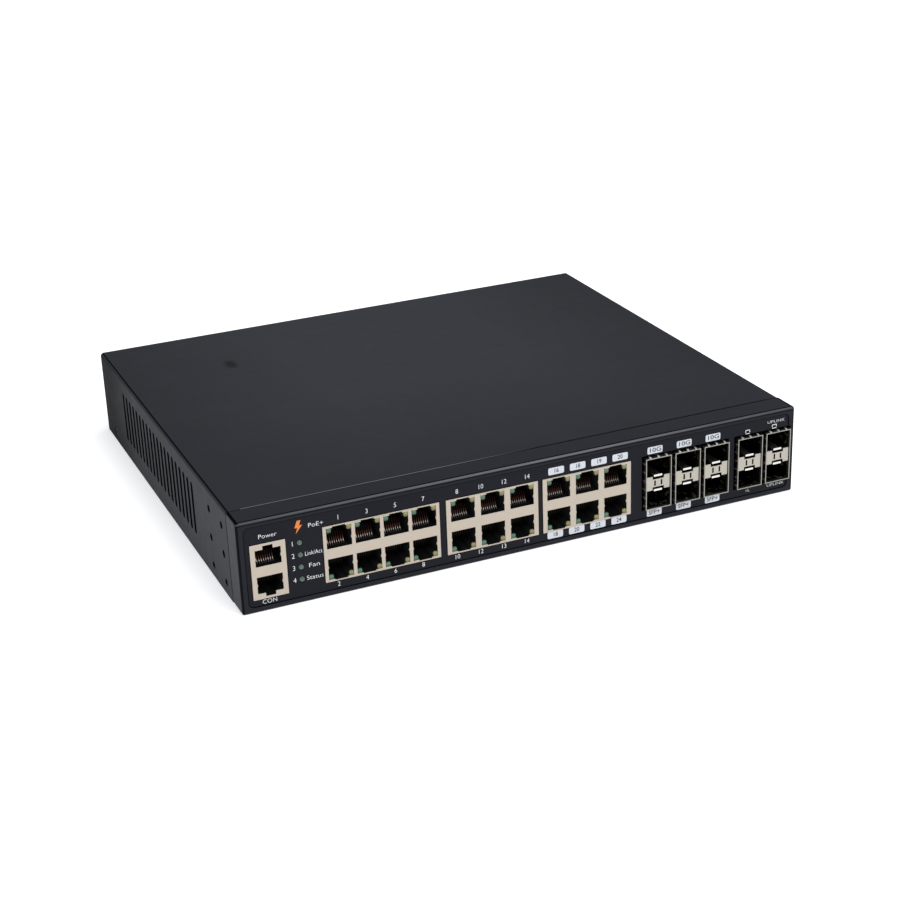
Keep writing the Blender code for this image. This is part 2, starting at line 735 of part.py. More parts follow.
harness_points = [
    Vector((x_at(x), y_at(d), z))
    for x, d, z in ((66, 162, 7.6), (66, 158, 9), (68, 152, 10.6), (72, 146, 10.2), (74, 141, 7.6))
]
harness_curve = bpy.data.curves.new("supply_harness", "CURVE")
harness_curve.dimensions = "3D"
harness_curve.bevel_depth = 1.5 * MM
harness_curve.bevel_resolution = 2
harness_curve.use_fill_caps = True
harness_line = harness_curve.splines.new("POLY")
harness_route = smooth_route(harness_points, 3)
harness_line.points.add(len(harness_route) - 1)
for route_point, co in zip(harness_line.points, harness_route):
    route_point.co = (*(co * MM), 1)
supply_harness = bpy.data.objects.new("supply_harness", harness_curve)
harness_curve.materials.append(CABLE)
parts.objects.link(supply_harness)
supply_harness.parent = switch_frame

# Two fans behind the grilles. Each rotor turns about an axis along Y.

fan_front = BODY_DEPTH - SHEET - 0.7 - FAN_THICK
boss_depth = 3.0


def fan(name, x):
    centre = (x_at(x), y_at(fan_front + FAN_THICK / 2), FAN_Z)
    reach = FAN_SIZE / 2
    frame = box(
        f"fan_frame_{name}",
        (centre[0] - reach, centre[0] + reach),
        (centre[1] - FAN_THICK / 2, centre[1] + FAN_THICK / 2),
        (FAN_Z - reach, FAN_Z + reach),
        BLACK_PLASTIC,
        radius=2.5,
    )
    bores = [rod(f"bore_{name}", centre, FAN_BORE, FAN_THICK + 4, sides=40)]
    for sx in (-16, 16):
        for sz in (-16, 16):
            at = (centre[0] + sx, centre[1], FAN_Z + sz)
            bores.append(rod(f"fan_hole_{name}_{sx}_{sz}", at, 1.75, FAN_THICK + 4, sides=8))
    cut(frame, gather(f"fan_bores_{name}", bores))
    boss_y = centre[1] + FAN_THICK / 2 - boss_depth / 2
    boss = rod(f"fan_boss_{name}", (centre[0], boss_y, FAN_Z), FAN_HUB - 0.3, boss_depth, sides=24)
    struts = [boss]
    for turn in (0, 60, 120):
        strut = box(
            f"fan_strut_{name}_{turn}",
            (centre[0] - FAN_BORE - 0.4, centre[0] + FAN_BORE + 0.4),
            (boss_y - 1.2, boss_y + 1.2),
            (FAN_Z - 0.9, FAN_Z + 0.9),
        )
        strut.data.transform(Matrix.Rotation(math.radians(turn), 4, "Y"))
        struts.append(strut)
    join(frame, *struts)

    hub_length = FAN_THICK - boss_depth - 2.4
    hub_y = y_at(fan_front + 1.0 + hub_length / 2)
    rotor = rod(f"fan_rotor_{name}", (centre[0], hub_y, FAN_Z), FAN_HUB, hub_length, "y", BLACK_PLASTIC, 28)
    blade_length = FAN_TIP - FAN_HUB + 1.5
    for n in range(BLADES):
        blade = box(f"blade_{name}_{n}", (-0.55, 0.55), (-6.6, 6.6), (0, blade_length))
        blade.data.transform(Matrix.Translation((0, 0, (FAN_HUB - 1.5 + blade_length / 2) * MM)))
        blade.data.transform(Matrix.Rotation(math.radians(38), 4, "Z"))
        blade.data.transform(Matrix.Rotation(math.tau * n / BLADES, 4, "Y"))
        blade.location = rotor.location
        join(rotor, blade)


fan("left", FAN_XS[0])
fan("right", FAN_XS[1])

# Mains inlet with three pins, at the rear

flange = (31.0, 24.0)
cavity = (24.2, 16.4)
cavity_floor = BODY_DEPTH + INLET_PROUD - 16.0
inlet_rear = BODY_DEPTH + INLET_PROUD
ac_inlet = box(
    "ac_inlet",
    (x_at(INLET_X) - flange[0] / 2, x_at(INLET_X) + flange[0] / 2),
    (y_at(BODY_DEPTH + FIT), y_at(inlet_rear)),
    (REAR_Z - flange[1] / 2, REAR_Z + flange[1] / 2),
    BLACK_PLASTIC,
    radius=2.5,
)
inlet_body = box(
    "inlet_body",
    (x_at(INLET_X) - INLET_BODY[0] / 2, x_at(INLET_X) + INLET_BODY[0] / 2),
    (y_at(cavity_floor - 3), y_at(BODY_DEPTH + 1)),
    (REAR_Z - INLET_BODY[1] / 2, REAR_Z + INLET_BODY[1] / 2),
)
chamfer = 4.5
cavity_outline = [
    (-cavity[0] / 2, -cavity[1] / 2),
    (cavity[0] / 2, -cavity[1] / 2),
    (cavity[0] / 2, cavity[1] / 2 - chamfer),
    (cavity[0] / 2 - chamfer, cavity[1] / 2),
    (-cavity[0] / 2 + chamfer, cavity[1] / 2),
    (-cavity[0] / 2, cavity[1] / 2 - chamfer),
]
cavity_middle, cavity_length = span(cavity_floor, inlet_rear + 2)
cavity_at = (x_at(INLET_X), y_at(cavity_middle), REAR_Z)
inlet_cavity = prism("inlet_cavity", cavity_outline, cavity_length, "xz", cavity_at)
INLET_PINS = {"line": (-7.0, -2.0, 14.0), "neutral": (7.0, -2.0, 14.0), "earth": (0.0, 3.5, 15.0)}
pin_holes = []
for pin, (dx, dz, reach) in INLET_PINS.items():
    pin_x = x_at(INLET_X) + dx
    pin_z = REAR_Z + dz
    pin_ys = (y_at(cavity_floor - 9), y_at(cavity_floor + reach))
    box(f"inlet_pin_{pin}", (pin_x - 1, pin_x + 1), pin_ys, (pin_z - 2, pin_z + 2), BRASS, 0.4, "y", 1)
    hole_ys = (y_at(cavity_floor - 6), y_at(cavity_floor + 1))
    pin_holes.append(box(f"pin_hole_{pin}", (pin_x - 1.3, pin_x + 1.3), hole_ys, (pin_z - 2.3, pin_z + 2.3)))
join(ac_inlet, inlet_body)
cut(ac_inlet, inlet_cavity, gather("pin_holes", pin_holes))

# Power switch: a rocker that turns about an axis along X inside its body

switch_flange = (15.0, 21.0)
rocker_room = (10.0, 15.0)
pivot_depth = BODY_DEPTH - 2.7
power_switch_body = box(
    "power_switch_body",
    (x_at(SWITCH_X) - switch_flange[0] / 2, x_at(SWITCH_X) + switch_flange[0] / 2),
    (y_at(BODY_DEPTH + FIT), y_at(BODY_DEPTH + 1.8)),
    (REAR_Z - switch_flange[1] / 2, REAR_Z + switch_flange[1] / 2),
    BLACK_PLASTIC,
    radius=1.5,
)
switch_shell = box(
    "switch_shell",
    (x_at(SWITCH_X) - SWITCH_BODY[0] / 2, x_at(SWITCH_X) + SWITCH_BODY[0] / 2),
    (y_at(BODY_DEPTH - 14), y_at(BODY_DEPTH + 1)),
    (REAR_Z - SWITCH_BODY[1] / 2, REAR_Z + SWITCH_BODY[1] / 2),
)
rocker_hollow = box(
    "rocker_hollow",
    (x_at(SWITCH_X) - rocker_room[0] / 2, x_at(SWITCH_X) + rocker_room[0] / 2),
    (y_at(BODY_DEPTH - 10), y_at(BODY_DEPTH + 5)),
    (REAR_Z - rocker_room[1] / 2, REAR_Z + rocker_room[1] / 2),
)
join(power_switch_body, switch_shell)
cut(power_switch_body, rocker_hollow)

rocker_half = 6.6
rocker_width = 9.2
ROCKER_TILT = 8.0
rocker_outline = [(4.5, rocker_half), (2.6, 0.0), (4.5, -rocker_half), (-1.0, -rocker_half)]
rocker_outline += arc((0, 0), 4.6, 225, 135, 6)
rocker_outline += [(-1.0, rocker_half)]
rocker_at = (x_at(SWITCH_X), y_at(pivot_depth), REAR_Z)
power_rocker = prism("power_rocker", rocker_outline, rocker_width, "yz", rocker_at, BLACK_PLASTIC)
power_rocker.rotation_euler.x = math.radians(-ROCKER_TILT)

# Earth screw on the rear wall

ground_screw = rod(
    "ground_screw", (x_at(GROUND_X), y_at(BODY_DEPTH + FIT + 1.1), REAR_Z), 3.2, 2.2, "y", BRASS, 20, tip_radius=2.6
)
ground_shank = rod("ground_shank", (x_at(GROUND_X), y_at(BODY_DEPTH - 2), REAR_Z), 1.5, 6, sides=10)
join(ground_screw, ground_shank)
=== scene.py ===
"""Looks of a compact rackmount network switch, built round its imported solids.

Every length is in metres, in the frame of the solids: +X to the right along the port panel, +Y to
the rear and +Z up. Sizes written as a number times MM are in millimetres.
"""

import json
import math

import bmesh
import bpy
from mathutils import Matrix, Vector

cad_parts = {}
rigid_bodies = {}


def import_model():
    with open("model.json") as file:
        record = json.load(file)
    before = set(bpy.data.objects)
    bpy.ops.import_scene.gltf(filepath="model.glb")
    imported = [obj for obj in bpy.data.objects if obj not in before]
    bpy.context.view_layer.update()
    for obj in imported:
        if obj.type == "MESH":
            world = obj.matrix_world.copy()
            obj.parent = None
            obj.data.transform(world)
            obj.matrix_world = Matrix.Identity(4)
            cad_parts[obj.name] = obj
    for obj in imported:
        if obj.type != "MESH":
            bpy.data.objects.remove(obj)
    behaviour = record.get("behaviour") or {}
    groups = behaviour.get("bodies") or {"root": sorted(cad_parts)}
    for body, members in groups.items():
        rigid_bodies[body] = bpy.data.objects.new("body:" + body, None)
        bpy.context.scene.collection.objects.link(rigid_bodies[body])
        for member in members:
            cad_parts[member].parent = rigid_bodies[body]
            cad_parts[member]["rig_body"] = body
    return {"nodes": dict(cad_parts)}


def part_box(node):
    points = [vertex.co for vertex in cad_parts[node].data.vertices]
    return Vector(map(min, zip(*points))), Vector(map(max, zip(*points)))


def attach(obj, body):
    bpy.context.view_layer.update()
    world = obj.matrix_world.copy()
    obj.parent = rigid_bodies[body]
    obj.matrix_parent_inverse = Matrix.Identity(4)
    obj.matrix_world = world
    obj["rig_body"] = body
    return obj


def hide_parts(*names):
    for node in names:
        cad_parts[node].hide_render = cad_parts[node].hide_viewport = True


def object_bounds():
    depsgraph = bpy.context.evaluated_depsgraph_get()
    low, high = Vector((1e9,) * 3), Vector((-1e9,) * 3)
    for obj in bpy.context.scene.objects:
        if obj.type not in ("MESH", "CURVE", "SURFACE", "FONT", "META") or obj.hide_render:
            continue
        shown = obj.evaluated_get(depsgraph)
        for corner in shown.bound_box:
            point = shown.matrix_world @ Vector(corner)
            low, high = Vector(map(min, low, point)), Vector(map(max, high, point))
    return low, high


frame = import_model()
solids_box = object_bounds()
nodes = frame["nodes"]
MM = 0.001

# ---------------------------------------------------------------------------------------------
# Base tray: one folded steel sheet, with the floor, the wall behind the bezel, the rear wall and
# the side flanges, powder coated charcoal after folding. Pillars are pressed in under the boards.


class Signal:
    """One socket of a node tree. Arithmetic on it adds Math nodes to the same tree."""

    def __init__(self, graph, socket):
        self.graph, self.socket = graph, socket

    def math(self, operation, first, second):
        return self.graph.node("ShaderNodeMath", {"operation": operation}, {0: first, 1: second})

    def __add__(self, other):
        return self.math("ADD", self, other)

    def __sub__(self, other):
        return self.math("SUBTRACT", self, other)

    def __rsub__(self, other):
        return self.math("SUBTRACT", other, self)

    def __mul__(self, other):
        return self.math("MULTIPLY", self, other)

    def __gt__(self, other):
        return self.math("GREATER_THAN", self, other)

    def __lt__(self, other):
        return self.math("LESS_THAN", self, other)

    __radd__ = __add__
    __rmul__ = __mul__


class Graph:
    """A node tree and the one way that nodes are added to it."""

    def __init__(self, tree):
        self.tree = tree

    def node(self, kind, settings=None, values=None, output=0):
        made = self.tree.nodes.new(kind)
        for key, value in (settings or {}).items():
            if key == "stops":
                for stop, (position, colour) in zip(made.color_ramp.elements, value):
                    stop.position, stop.color = position, colour
            else:
                setattr(made, key, value)
        for key, value in (values or {}).items():
            if isinstance(value, Signal):
                self.tree.links.new(value.socket, made.inputs[key])
            else:
                made.inputs[key].default_value = value
        return Signal(self, made.outputs[output]) if made.outputs else None


class Finish(Graph):
    """A material. What is the same all over is set on the shader, and what varies is fed to it."""

    def __init__(self, name, constants):
        self.material = bpy.data.materials.new(name)
        self.material.use_nodes = True
        super().__init__(self.material.node_tree)
        self.shader = self.tree.nodes["Principled BSDF"]
        for socket, value in constants.items():
            self.shader.inputs[socket].default_value = value
        self.place = self.node("ShaderNodeTexCoord", output="Object")

    def feed(self, socket, signal):
        self.tree.links.new(signal.socket, self.shader.inputs[socket])

    def grain(self, size, detail=2.0, stretch=(1, 1, 1)):
        """Noise with grains of a size in metres, drawn out along an axis by its stretch."""
        spread = tuple(1 / part for part in stretch)
        place = self.node("ShaderNodeMapping", {}, {"Vector": self.place, "Scale": spread})
        return self.node("ShaderNodeTexNoise", {}, {"Vector": place, "Scale": 1 / size, "Detail": detail})

    def axis(self, name):
        return self.node("ShaderNodeSeparateXYZ", {}, {0: self.place}, name)

    def band(self, name, low, high, soft=0.1 * MM):
        """1 where a coordinate lies between two values, and 0 outside. X is taken without its sign."""
        along = self.axis(name)
        if name == "X":
            along = self.node("ShaderNodeMath", {"operation": "ABSOLUTE"}, {0: along})
        rise = self.ramp(along, low - soft, low + soft)
        return rise - self.ramp(along, high - soft, high + soft)

    def ramp(self, signal, low, high):
        """0 below low, 1 above high, and straight between."""
        values = {"Value": signal, "From Min": low, "From Max": high}
        return self.node("ShaderNodeMapRange", {}, values)

    def tint(self, factor, first, second):
        settings = {"data_type": "RGBA"}
        shades = {key: (*value, 1) if isinstance(value, tuple) else value for key, value in
                  ((6, first), (7, second))}
        return self.node("ShaderNodeMix", settings, {0: factor, **shades}, 2)

    def bump(self, height, depth):
        values = {"Height": height, "Distance": depth}
        self.feed("Normal", self.node("ShaderNodeBump", {}, values))


def powder_coat(name, dark, light, rough, grain, lines=(), shade_masks=()):
    """Baked powder coat: a fine orange-peel skin, with a faint cloudiness in shade and gloss. Each
    line is a function that gives a mask and the shade of the coat there, some of them painted light
    or painted shade, and each function in the last list gives a place painted matt black as painted shade."""
    coat = Finish(name, {"Specular IOR Level": 0.07})
    cloud = coat.grain(38 * MM, 3.0)
    peel = coat.grain(grain)
    fine = coat.grain(grain * 0.35, 1.0)
    fleck = coat.ramp(fine, 0.62, 0.8) * 0.35
    shade = coat.tint(cloud * 0.4 + fleck + peel * 0.3, dark, light)
    for line in lines:
        mask, colour = line(coat)
        shade = coat.tint(mask, shade, colour)
    coat.feed("Base Color", shade)
    coat.feed("Roughness", coat.grain(7 * MM) * 0.1 + peel * 0.12 + (rough - 0.11))
    coat.bump(peel * 0.7 + fine * 0.3, grain * 0.09)
    # Painted shade: each of these places is mixed to a matt black shader with no gloss.
    for place in shade_masks:
        values = {"Base Color": SHADE_BLACK, "Roughness": 0.9, "Specular IOR Level": 0.0}
        matt = coat.node("ShaderNodeBsdfPrincipled", {}, values)
        output = coat.tree.nodes["Material Output"]
        glossy = Signal(coat, output.inputs["Surface"].links[0].from_socket)
        mixed = coat.node("ShaderNodeMixShader", {}, {0: place(coat), 1: glossy, 2: matt})
        coat.tree.links.new(mixed.socket, output.inputs["Surface"])
    return coat.material


HALF_WIDTH = solids_box[1].x
TOP = solids_box[1].z
FAR = 1.0
FOLD = 1.5 * MM
SKIN = 0.3 * MM
# Near black with no gloss, drawn as painted shade where the coats are in shade.
SHADE_BLACK = (0.0024, 0.0027, 0.0037, 1)
SHADE_END = 110 * MM
MARK_X, MARK_Y = -HALF_WIDTH + 57 * MM, solids_box[0].y + 190 * MM
cover_front, cover_rear = (corner.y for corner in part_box("top_cover"))


def side_shade(coat):
    """Painted shade on the sides: lighter to the front and darker to the rear."""
    side = coat.band("X", HALF_WIDTH - SKIN, FAR)
    forward = 1 - coat.ramp(coat.axis("Y"), cover_front, SHADE_END)
    return side, coat.tint(forward, (0.008, 0.0085, 0.011), (0.03, 0.0315, 0.0365))


def top_shade(coat):
    """Painted light: the middle and rear of the top are lighter than its edges."""
    across = coat.node("ShaderNodeMath", {"operation": "ABSOLUTE"}, {0: coat.axis("X")})
    middle = 1 - coat.ramp(across, 50 * MM, HALF_WIDTH - 5 * MM)
    back = coat.ramp(coat.axis("Y"), cover_front, 0.0)
    lighter = coat.tint(coat.grain(0.7 * MM), (0.0255, 0.0275, 0.0325), (0.039, 0.0415, 0.048))
    return coat.band("Z", TOP - 0.2 * MM, FAR) * middle * back * 0.8, lighter


def fold_line(coat):
    """Painted shade: the tight outer bend along each side of the top, drawn as a dark line."""
    return coat.band("X", HALF_WIDTH - FOLD, FAR) * coat.band("Z", TOP - SKIN, FAR)


def seam_line(coat):
    """The cut front edge of the top, with a painted highlight to the left that fades to painted shade to the
    right.
    """
    edge = coat.band("Y", -FAR, cover_front + SKIN) * coat.band("Z", TOP - 0.5 * MM, FAR)
    inner = coat.band("X", -FAR, HALF_WIDTH - 7 * MM)
    right = coat.ramp(coat.axis("X"), -30 * MM, 10 * MM)
    return edge * inner, coat.tint(right, (0.13, 0.135, 0.145), (0.004, 0.0042, 0.006))


def thumb_mark(coat):
    """One faint round mark on the top, to the rear left, where the coat is a shade darker."""
    values = {0: coat.place, 1: (-MARK_X, -MARK_Y, -TOP)}
    from_mark = coat.node("ShaderNodeVectorMath", {"operation": "ADD"}, values)
    oval = coat.node("ShaderNodeVectorMath", {"operation": "MULTIPLY"}, {0: from_mark, 1: (1, 0.5, 1)})
    away = coat.node("ShaderNodeVectorMath", {"operation": "LENGTH"}, {0: oval}, "Value")
    return (1 - coat.ramp(away, 1.5 * MM, 4 * MM)) * 0.75, (0.004, 0.0045, 0.006)


def cut_edges(coat):
    """Painted shade: the walls of the slots and holes in the sides, and the sheet behind them, drawn matt
    black.
    """
    behind = coat.band("X", HALF_WIDTH - 4 * MM, HALF_WIDTH - 0.02 * MM, 0.015 * MM)
    return behind * coat.band("Z", 5 * MM, TOP - 3 * MM) * coat.band("Y", -FAR, cover_rear - 4 * MM)


SLOT_PITCH, SLOT_WIDTH, SLOT_COUNT = 6.6 * MM, 2.8 * MM, 20
FIRST_SLOT = cover_rear - 45.7 * MM
SLOT_RIM = 0.35 * MM
SLOT_LOW, SLOT_HIGH = 11.0 * MM, 35.8 * MM


def slot_rims(coat):
    """Painted shade: a matt black rim along both sides of each slot."""
    along = (coat.axis("Y") - FIRST_SLOT) * (1 / SLOT_PITCH)
    from_slot = coat.node("ShaderNodeMath", {"operation": "PINGPONG"}, {0: along, 1: 0.5})
    edge = (SLOT_WIDTH / 2 + SLOT_RIM) / SLOT_PITCH
    row = coat.band("Y", FIRST_SLOT - (SLOT_COUNT - 0.5) * SLOT_PITCH, FIRST_SLOT + SLOT_PITCH / 2)
    side = coat.band("X", HALF_WIDTH - SKIN, FAR) * coat.band("Z", SLOT_LOW, SLOT_HIGH)
    return (1 - coat.ramp(from_slot, edge - 0.01, edge + 0.01)) * row * side * 0.85


def rear_shade(coat):
    """Painted shade: the rear of the sides, mixed up to half way to matt black."""
    side = coat.band("X", HALF_WIDTH - SKIN, FAR)
    return side * coat.ramp(coat.axis("Y"), 50 * MM, 100 * MM) * 0.5


CASE_COAT = powder_coat(
    "case_powder_coat", (0.0158, 0.0168, 0.0208), (0.0282, 0.0297, 0.035), 0.58, 0.7 * MM,
    lines=(side_shade, top_shade, thumb_mark, seam_line), shade_masks=(fold_line, cut_edges, slot_rims, rear_shade),
)


def refined(name, node, finish, edge=0.12 * MM, cutters=(), angle=30):
    """A finer copy of a node's solid: flat faces made whole, corners eased, curves shaded smooth."""
    bm = bmesh.new()
    bm.from_mesh(nodes[node].data)
    bmesh.ops.remove_doubles(bm, verts=bm.verts, dist=1e-6)
    if edge:
        bmesh.ops.dissolve_limit(bm, angle_limit=math.radians(1), verts=bm.verts, edges=bm.edges)
        bmesh.ops.triangulate(bm, faces=bm.faces, quad_method="BEAUTY", ngon_method="BEAUTY")
    mesh = bpy.data.meshes.new(name)
    bm.to_mesh(mesh)
    bm.free()
    made = bpy.data.objects.new(name, mesh)
    bpy.context.scene.collection.objects.link(made)
    for cutter in cutters:
        step = made.modifiers.new("recess", "BOOLEAN")
        step.object = cutter
    if cutters:
        graph = bpy.context.evaluated_depsgraph_get()
        made.data = bpy.data.meshes.new_from_object(made.evaluated_get(graph))
        made.modifiers.clear()
        for cutter in cutters:
            bpy.data.objects.remove(cutter)
    made.data.materials.clear()
    made.data.materials.append(finish)
    made.data.shade_smooth()
    if edge:
        ease = made.modifiers.new("eased_edges", "BEVEL")
        ease.width = edge
        ease.segments = 2
        ease.limit_method = "ANGLE"
        ease.angle_limit = math.radians(angle)
        ease.use_clamp_overlap = False
        flats = made.modifiers.new("flat_faces", "WEIGHTED_NORMAL")
        flats.weight = 100
    else:
        made.data.set_sharp_from_angle(angle=math.radians(angle))
    body = nodes[node]["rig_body"]
    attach(made, body)
    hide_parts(node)
    return made


refined("tray_sheet", "base_tray", CASE_COAT)

# ---------------------------------------------------------------------------------------------
# Main board and supply board: glass-epoxy boards under green solder mask, with copper traces
# that show as a lighter green.


def solder_mask(name):
    """Green lacquer over traces that run along X in some patches and along Y in the others."""
    mask = Finish(name, {"Specular IOR Level": 0.5, "Coat Roughness": 0.2})
    along_x = mask.axis("X")
    along_y = mask.axis("Y")
    lane = mask.node("ShaderNodeMath", {"operation": "PINGPONG"}, {0: along_x, 1: 0.55 * MM})
    lane_y = mask.node("ShaderNodeMath", {"operation": "PINGPONG"}, {0: along_y, 1: 0.75 * MM})
    patch = mask.grain(9 * MM, 0.0) > 0.5
    trace_x = mask.ramp(lane, 0.2 * MM, 0.24 * MM)
    trace_y = mask.ramp(lane_y, 0.3 * MM, 0.34 * MM)
    trace = trace_x * patch + trace_y * (1 - patch)
    field = mask.grain(22 * MM, 1.0) > 0.42
    mask.feed("Base Color", mask.tint(trace * field, (0.006, 0.055, 0.022), (0.014, 0.12, 0.048)))
    mask.feed("Roughness", trace * -0.1 + 0.42)
    mask.bump(trace * field, 0.03 * MM)
    return mask.material


MASK = solder_mask("solder_mask")
for board_node, board_piece in (("main_board", "switch_board"), ("power_board", "supply_board")):
    refined(board_piece, board_node, MASK, edge=0.08 * MM)

# ---------------------------------------------------------------------------------------------
# Switch chip, heatsinks and supply parts: a moulded epoxy package, saw-cut aluminium extrusions, a
# taped transformer, a sleeved capacitor and the red supply leads between the two boards.


def streaked_metal(name, dark, light, rough, grain, stretch):
    """Rolled or extruded metal, with fine lines along one direction."""
    metal = Finish(name, {"Metallic": 1.0})
    streak = metal.grain(grain, 3.0, stretch)
    cloud = metal.grain(6 * MM, 2.0)
    metal.feed("Base Color", metal.tint(streak * 0.6 + cloud * 0.4, dark, light))
    metal.feed("Roughness", streak * 0.16 + cloud * 0.1 + (rough - 0.13))
    metal.bump(streak, 0.015 * MM)
    return metal.material


def moulding(name, dark, light, rough, grain, depth=0.02 * MM, constants=None):
    """Injection-moulded plastic, spark-eroded to a fine even texture."""
    plastic = Finish(name, {"Specular IOR Level": 0.45, **(constants or {})})
    skin = plastic.grain(grain)
    cloud = plastic.grain(11 * MM, 2.0)
    plastic.feed("Base Color", plastic.tint(cloud * 0.6 + skin * 0.4, dark, light))
    plastic.feed("Roughness", skin * 0.14 + cloud * 0.08 + (rough - 0.11))
    plastic.bump(skin, depth)
    return plastic.material


EXTRUSION = streaked_metal("extruded_aluminium", (0.5, 0.51, 0.52), (0.7, 0.71, 0.72), 0.42, 0.4 * MM,
                           (1, 12, 1))
EPOXY = moulding("package_epoxy", (0.012, 0.012, 0.013), (0.02, 0.02, 0.021), 0.55, 0.25 * MM)
TAPE = moulding("winding_tape", (0.5, 0.36, 0.03), (0.66, 0.5, 0.07), 0.38, 1.2 * MM,
                constants={"Coat Weight": 0.3})
SLEEVE = moulding("capacitor_sleeve", (0.012, 0.016, 0.05), (0.02, 0.03, 0.085), 0.3, 1.5 * MM, 0.008 * MM)
WIRE = moulding("lead_insulation", (0.28, 0.008, 0.008), (0.42, 0.014, 0.012), 0.4, 0.5 * MM, 0.01 * MM)
electronics = (
    ("epoxy_package", "switch_chip", EPOXY),
    ("chip_extrusion", "chip_heatsink", EXTRUSION),
    ("poe_extrusion", "poe_heatsink", EXTRUSION),
    ("supply_extrusion", "power_heatsink", EXTRUSION),
    ("taped_transformer", "power_transformer", TAPE),
    ("sleeved_capacitor", "bulk_capacitor", SLEEVE),
    ("supply_leads", "supply_harness", WIRE),
)
for part_piece, part_node, part_finish in electronics:
    refined(part_piece, part_node, part_finish, edge=0 if part_node == "supply_harness" else 0.15 * MM)

# ---------------------------------------------------------------------------------------------
# Stacked network jacks: a bright tinned shield drawn round a black moulded insert. The data jacks
# have two lenses at each opening, green on the left and yellow on the right.

TIN = streaked_metal("tinned_shield", (0.385, 0.34, 0.285), (0.54, 0.475, 0.4), 0.45, 0.5 * MM, (9, 1, 1))
INSERT = moulding("jack_insert", (0.0015, 0.0015, 0.0018), (0.0035, 0.0035, 0.004), 0.6, 0.3 * MM,
                  constants={"Specular IOR Level": 0.06})
SIDE_LIP = 0.8 * MM
COLUMNS = {"console": 1, "a": 4, "b": 3, "c": 3}
MIDDLE_BAR = 5.0 * MM
JACK_WIDTH = 11.7 * MM
LATCH_SLOT = 6.2 * MM
SHIELD_RIM = 0.6 * MM


def ports(key):
    """(x, z of the plug's face by the middle bar, direction away from the bar) of each port."""
    low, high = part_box(f"jack_shield_{key}")
    pitch = (high.x - low.x - 2 * SIDE_LIP) / COLUMNS[key]
    middle = (low.z + high.z) / 2
    found = []
    for column in range(COLUMNS[key]):
        x = low.x + SIDE_LIP + pitch * (column + 0.5)
        found += [(x, middle + way * MIDDLE_BAR / 2, way) for way in (1, -1)]
    return found


for jack in COLUMNS:
    refined(f"drawn_shield_{jack}", f"jack_shield_{jack}", TIN, edge=0.15 * MM)
    refined(f"moulded_insert_{jack}", f"jack_insert_{jack}", INSERT, edge=0)


def solid(name, bm, finish=None, edge=0.0, segments=2):
    """An object from a bmesh, with its corners eased."""
    mesh = bpy.data.meshes.new(name)
    bm.to_mesh(mesh)
    bm.free()
    made = bpy.data.objects.new(name, mesh)
    bpy.context.scene.collection.objects.link(made)
    if finish:
        mesh.materials.append(finish)
    mesh.shade_smooth()
    if edge:
        ease = made.modifiers.new("eased_edges", "BEVEL")
        ease.width = edge
        ease.segments = segments
        ease.limit_method = "ANGLE"
        ease.angle_limit = math.radians(40)
        ease.harden_normals = True
    else:
        mesh.set_sharp_from_angle(angle=math.radians(35))
    return made


def add_box(bm, low, high):
    """A box between two corners, added to a bmesh."""
    low, high = Vector(low), Vector(high)
    made = bmesh.ops.create_cube(bm, size=1.0)
    bmesh.ops.scale(bm, vec=high - low, verts=made["verts"])
    bmesh.ops.translate(bm, vec=(low + high) / 2, verts=made["verts"])
    return made["verts"]


def add_ribbon(bm, path, thickness, width):
    """A flat strip that follows (y, z) points, added to a bmesh, centred on x = 0."""
    points = [Vector(point) for point in path]
    normals = []
    for index in range(len(points)):
        before = points[max(index - 1, 0)]
        after = points[min(index + 1, len(points) - 1)]
        along = (after - before).normalized()
        normals.append(Vector((-along.y, along.x)))
    outline = [p + n * thickness / 2 for p, n in zip(points, normals)]
    outline += [p - n * thickness / 2 for p, n in reversed(list(zip(points, normals)))]
    face = bm.faces.new([bm.verts.new((-width / 2, y, z)) for y, z in outline])
    pushed = bmesh.ops.extrude_face_region(bm, geom=[face])
    moved = [part for part in pushed["geom"] if isinstance(part, bmesh.types.BMVert)]
    bmesh.ops.translate(bm, vec=(width, 0, 0), verts=moved)
    bmesh.ops.recalc_face_normals(bm, faces=bm.faces)


def repeat_tree():
    """Copies of a unit, in a row at each point, turned about Y by the point's own angle."""
    tree = bpy.data.node_groups.new("rows_of_units", "GeometryNodeTree")
    sockets = {}
    for label, kind in (("Points", "Geometry"), ("Unit", "Object"), ("Count", "Int"), ("Spacing", "Vector"),
                        ("Finish", "Material")):
        item = tree.interface.new_socket(name=label, in_out="INPUT", socket_type=f"NodeSocket{kind}")
        sockets[label] = item.identifier
    tree.interface.new_socket(name="Rows", in_out="OUTPUT", socket_type="NodeSocketGeometry")
    graph = Graph(tree)
    given = {label: graph.node("NodeGroupInput", output=label) for label in sockets}
    unit = graph.node("GeometryNodeObjectInfo", {}, {"Object": given["Unit"]}, "Geometry")
    back = graph.node("ShaderNodeVectorMath", {"operation": "SCALE"},
                      {0: given["Spacing"], "Scale": (given["Count"] - 1) * -0.5})
    line = graph.node("GeometryNodeMeshLine", {},
                      {"Count": given["Count"], "Start Location": back, "Offset": given["Spacing"]})
    row = graph.node("GeometryNodeInstanceOnPoints", {}, {"Points": line, "Instance": unit})
    angle = graph.node("GeometryNodeInputNamedAttribute", {"data_type": "FLOAT"}, {"Name": "turn"})
    turn = graph.node("ShaderNodeCombineXYZ", {}, {"Y": angle})
    rows = graph.node("GeometryNodeInstanceOnPoints", {},
                      {"Points": given["Points"], "Instance": row, "Rotation": turn})
    real = graph.node("GeometryNodeRealizeInstances", {}, {0: rows})
    coated = graph.node("GeometryNodeSetMaterial", {}, {"Geometry": real, "Material": given["Finish"]})
    graph.node("NodeGroupOutput", {}, {0: coated})
    return tree, sockets


ROWS, ROW_SOCKETS = repeat_tree()


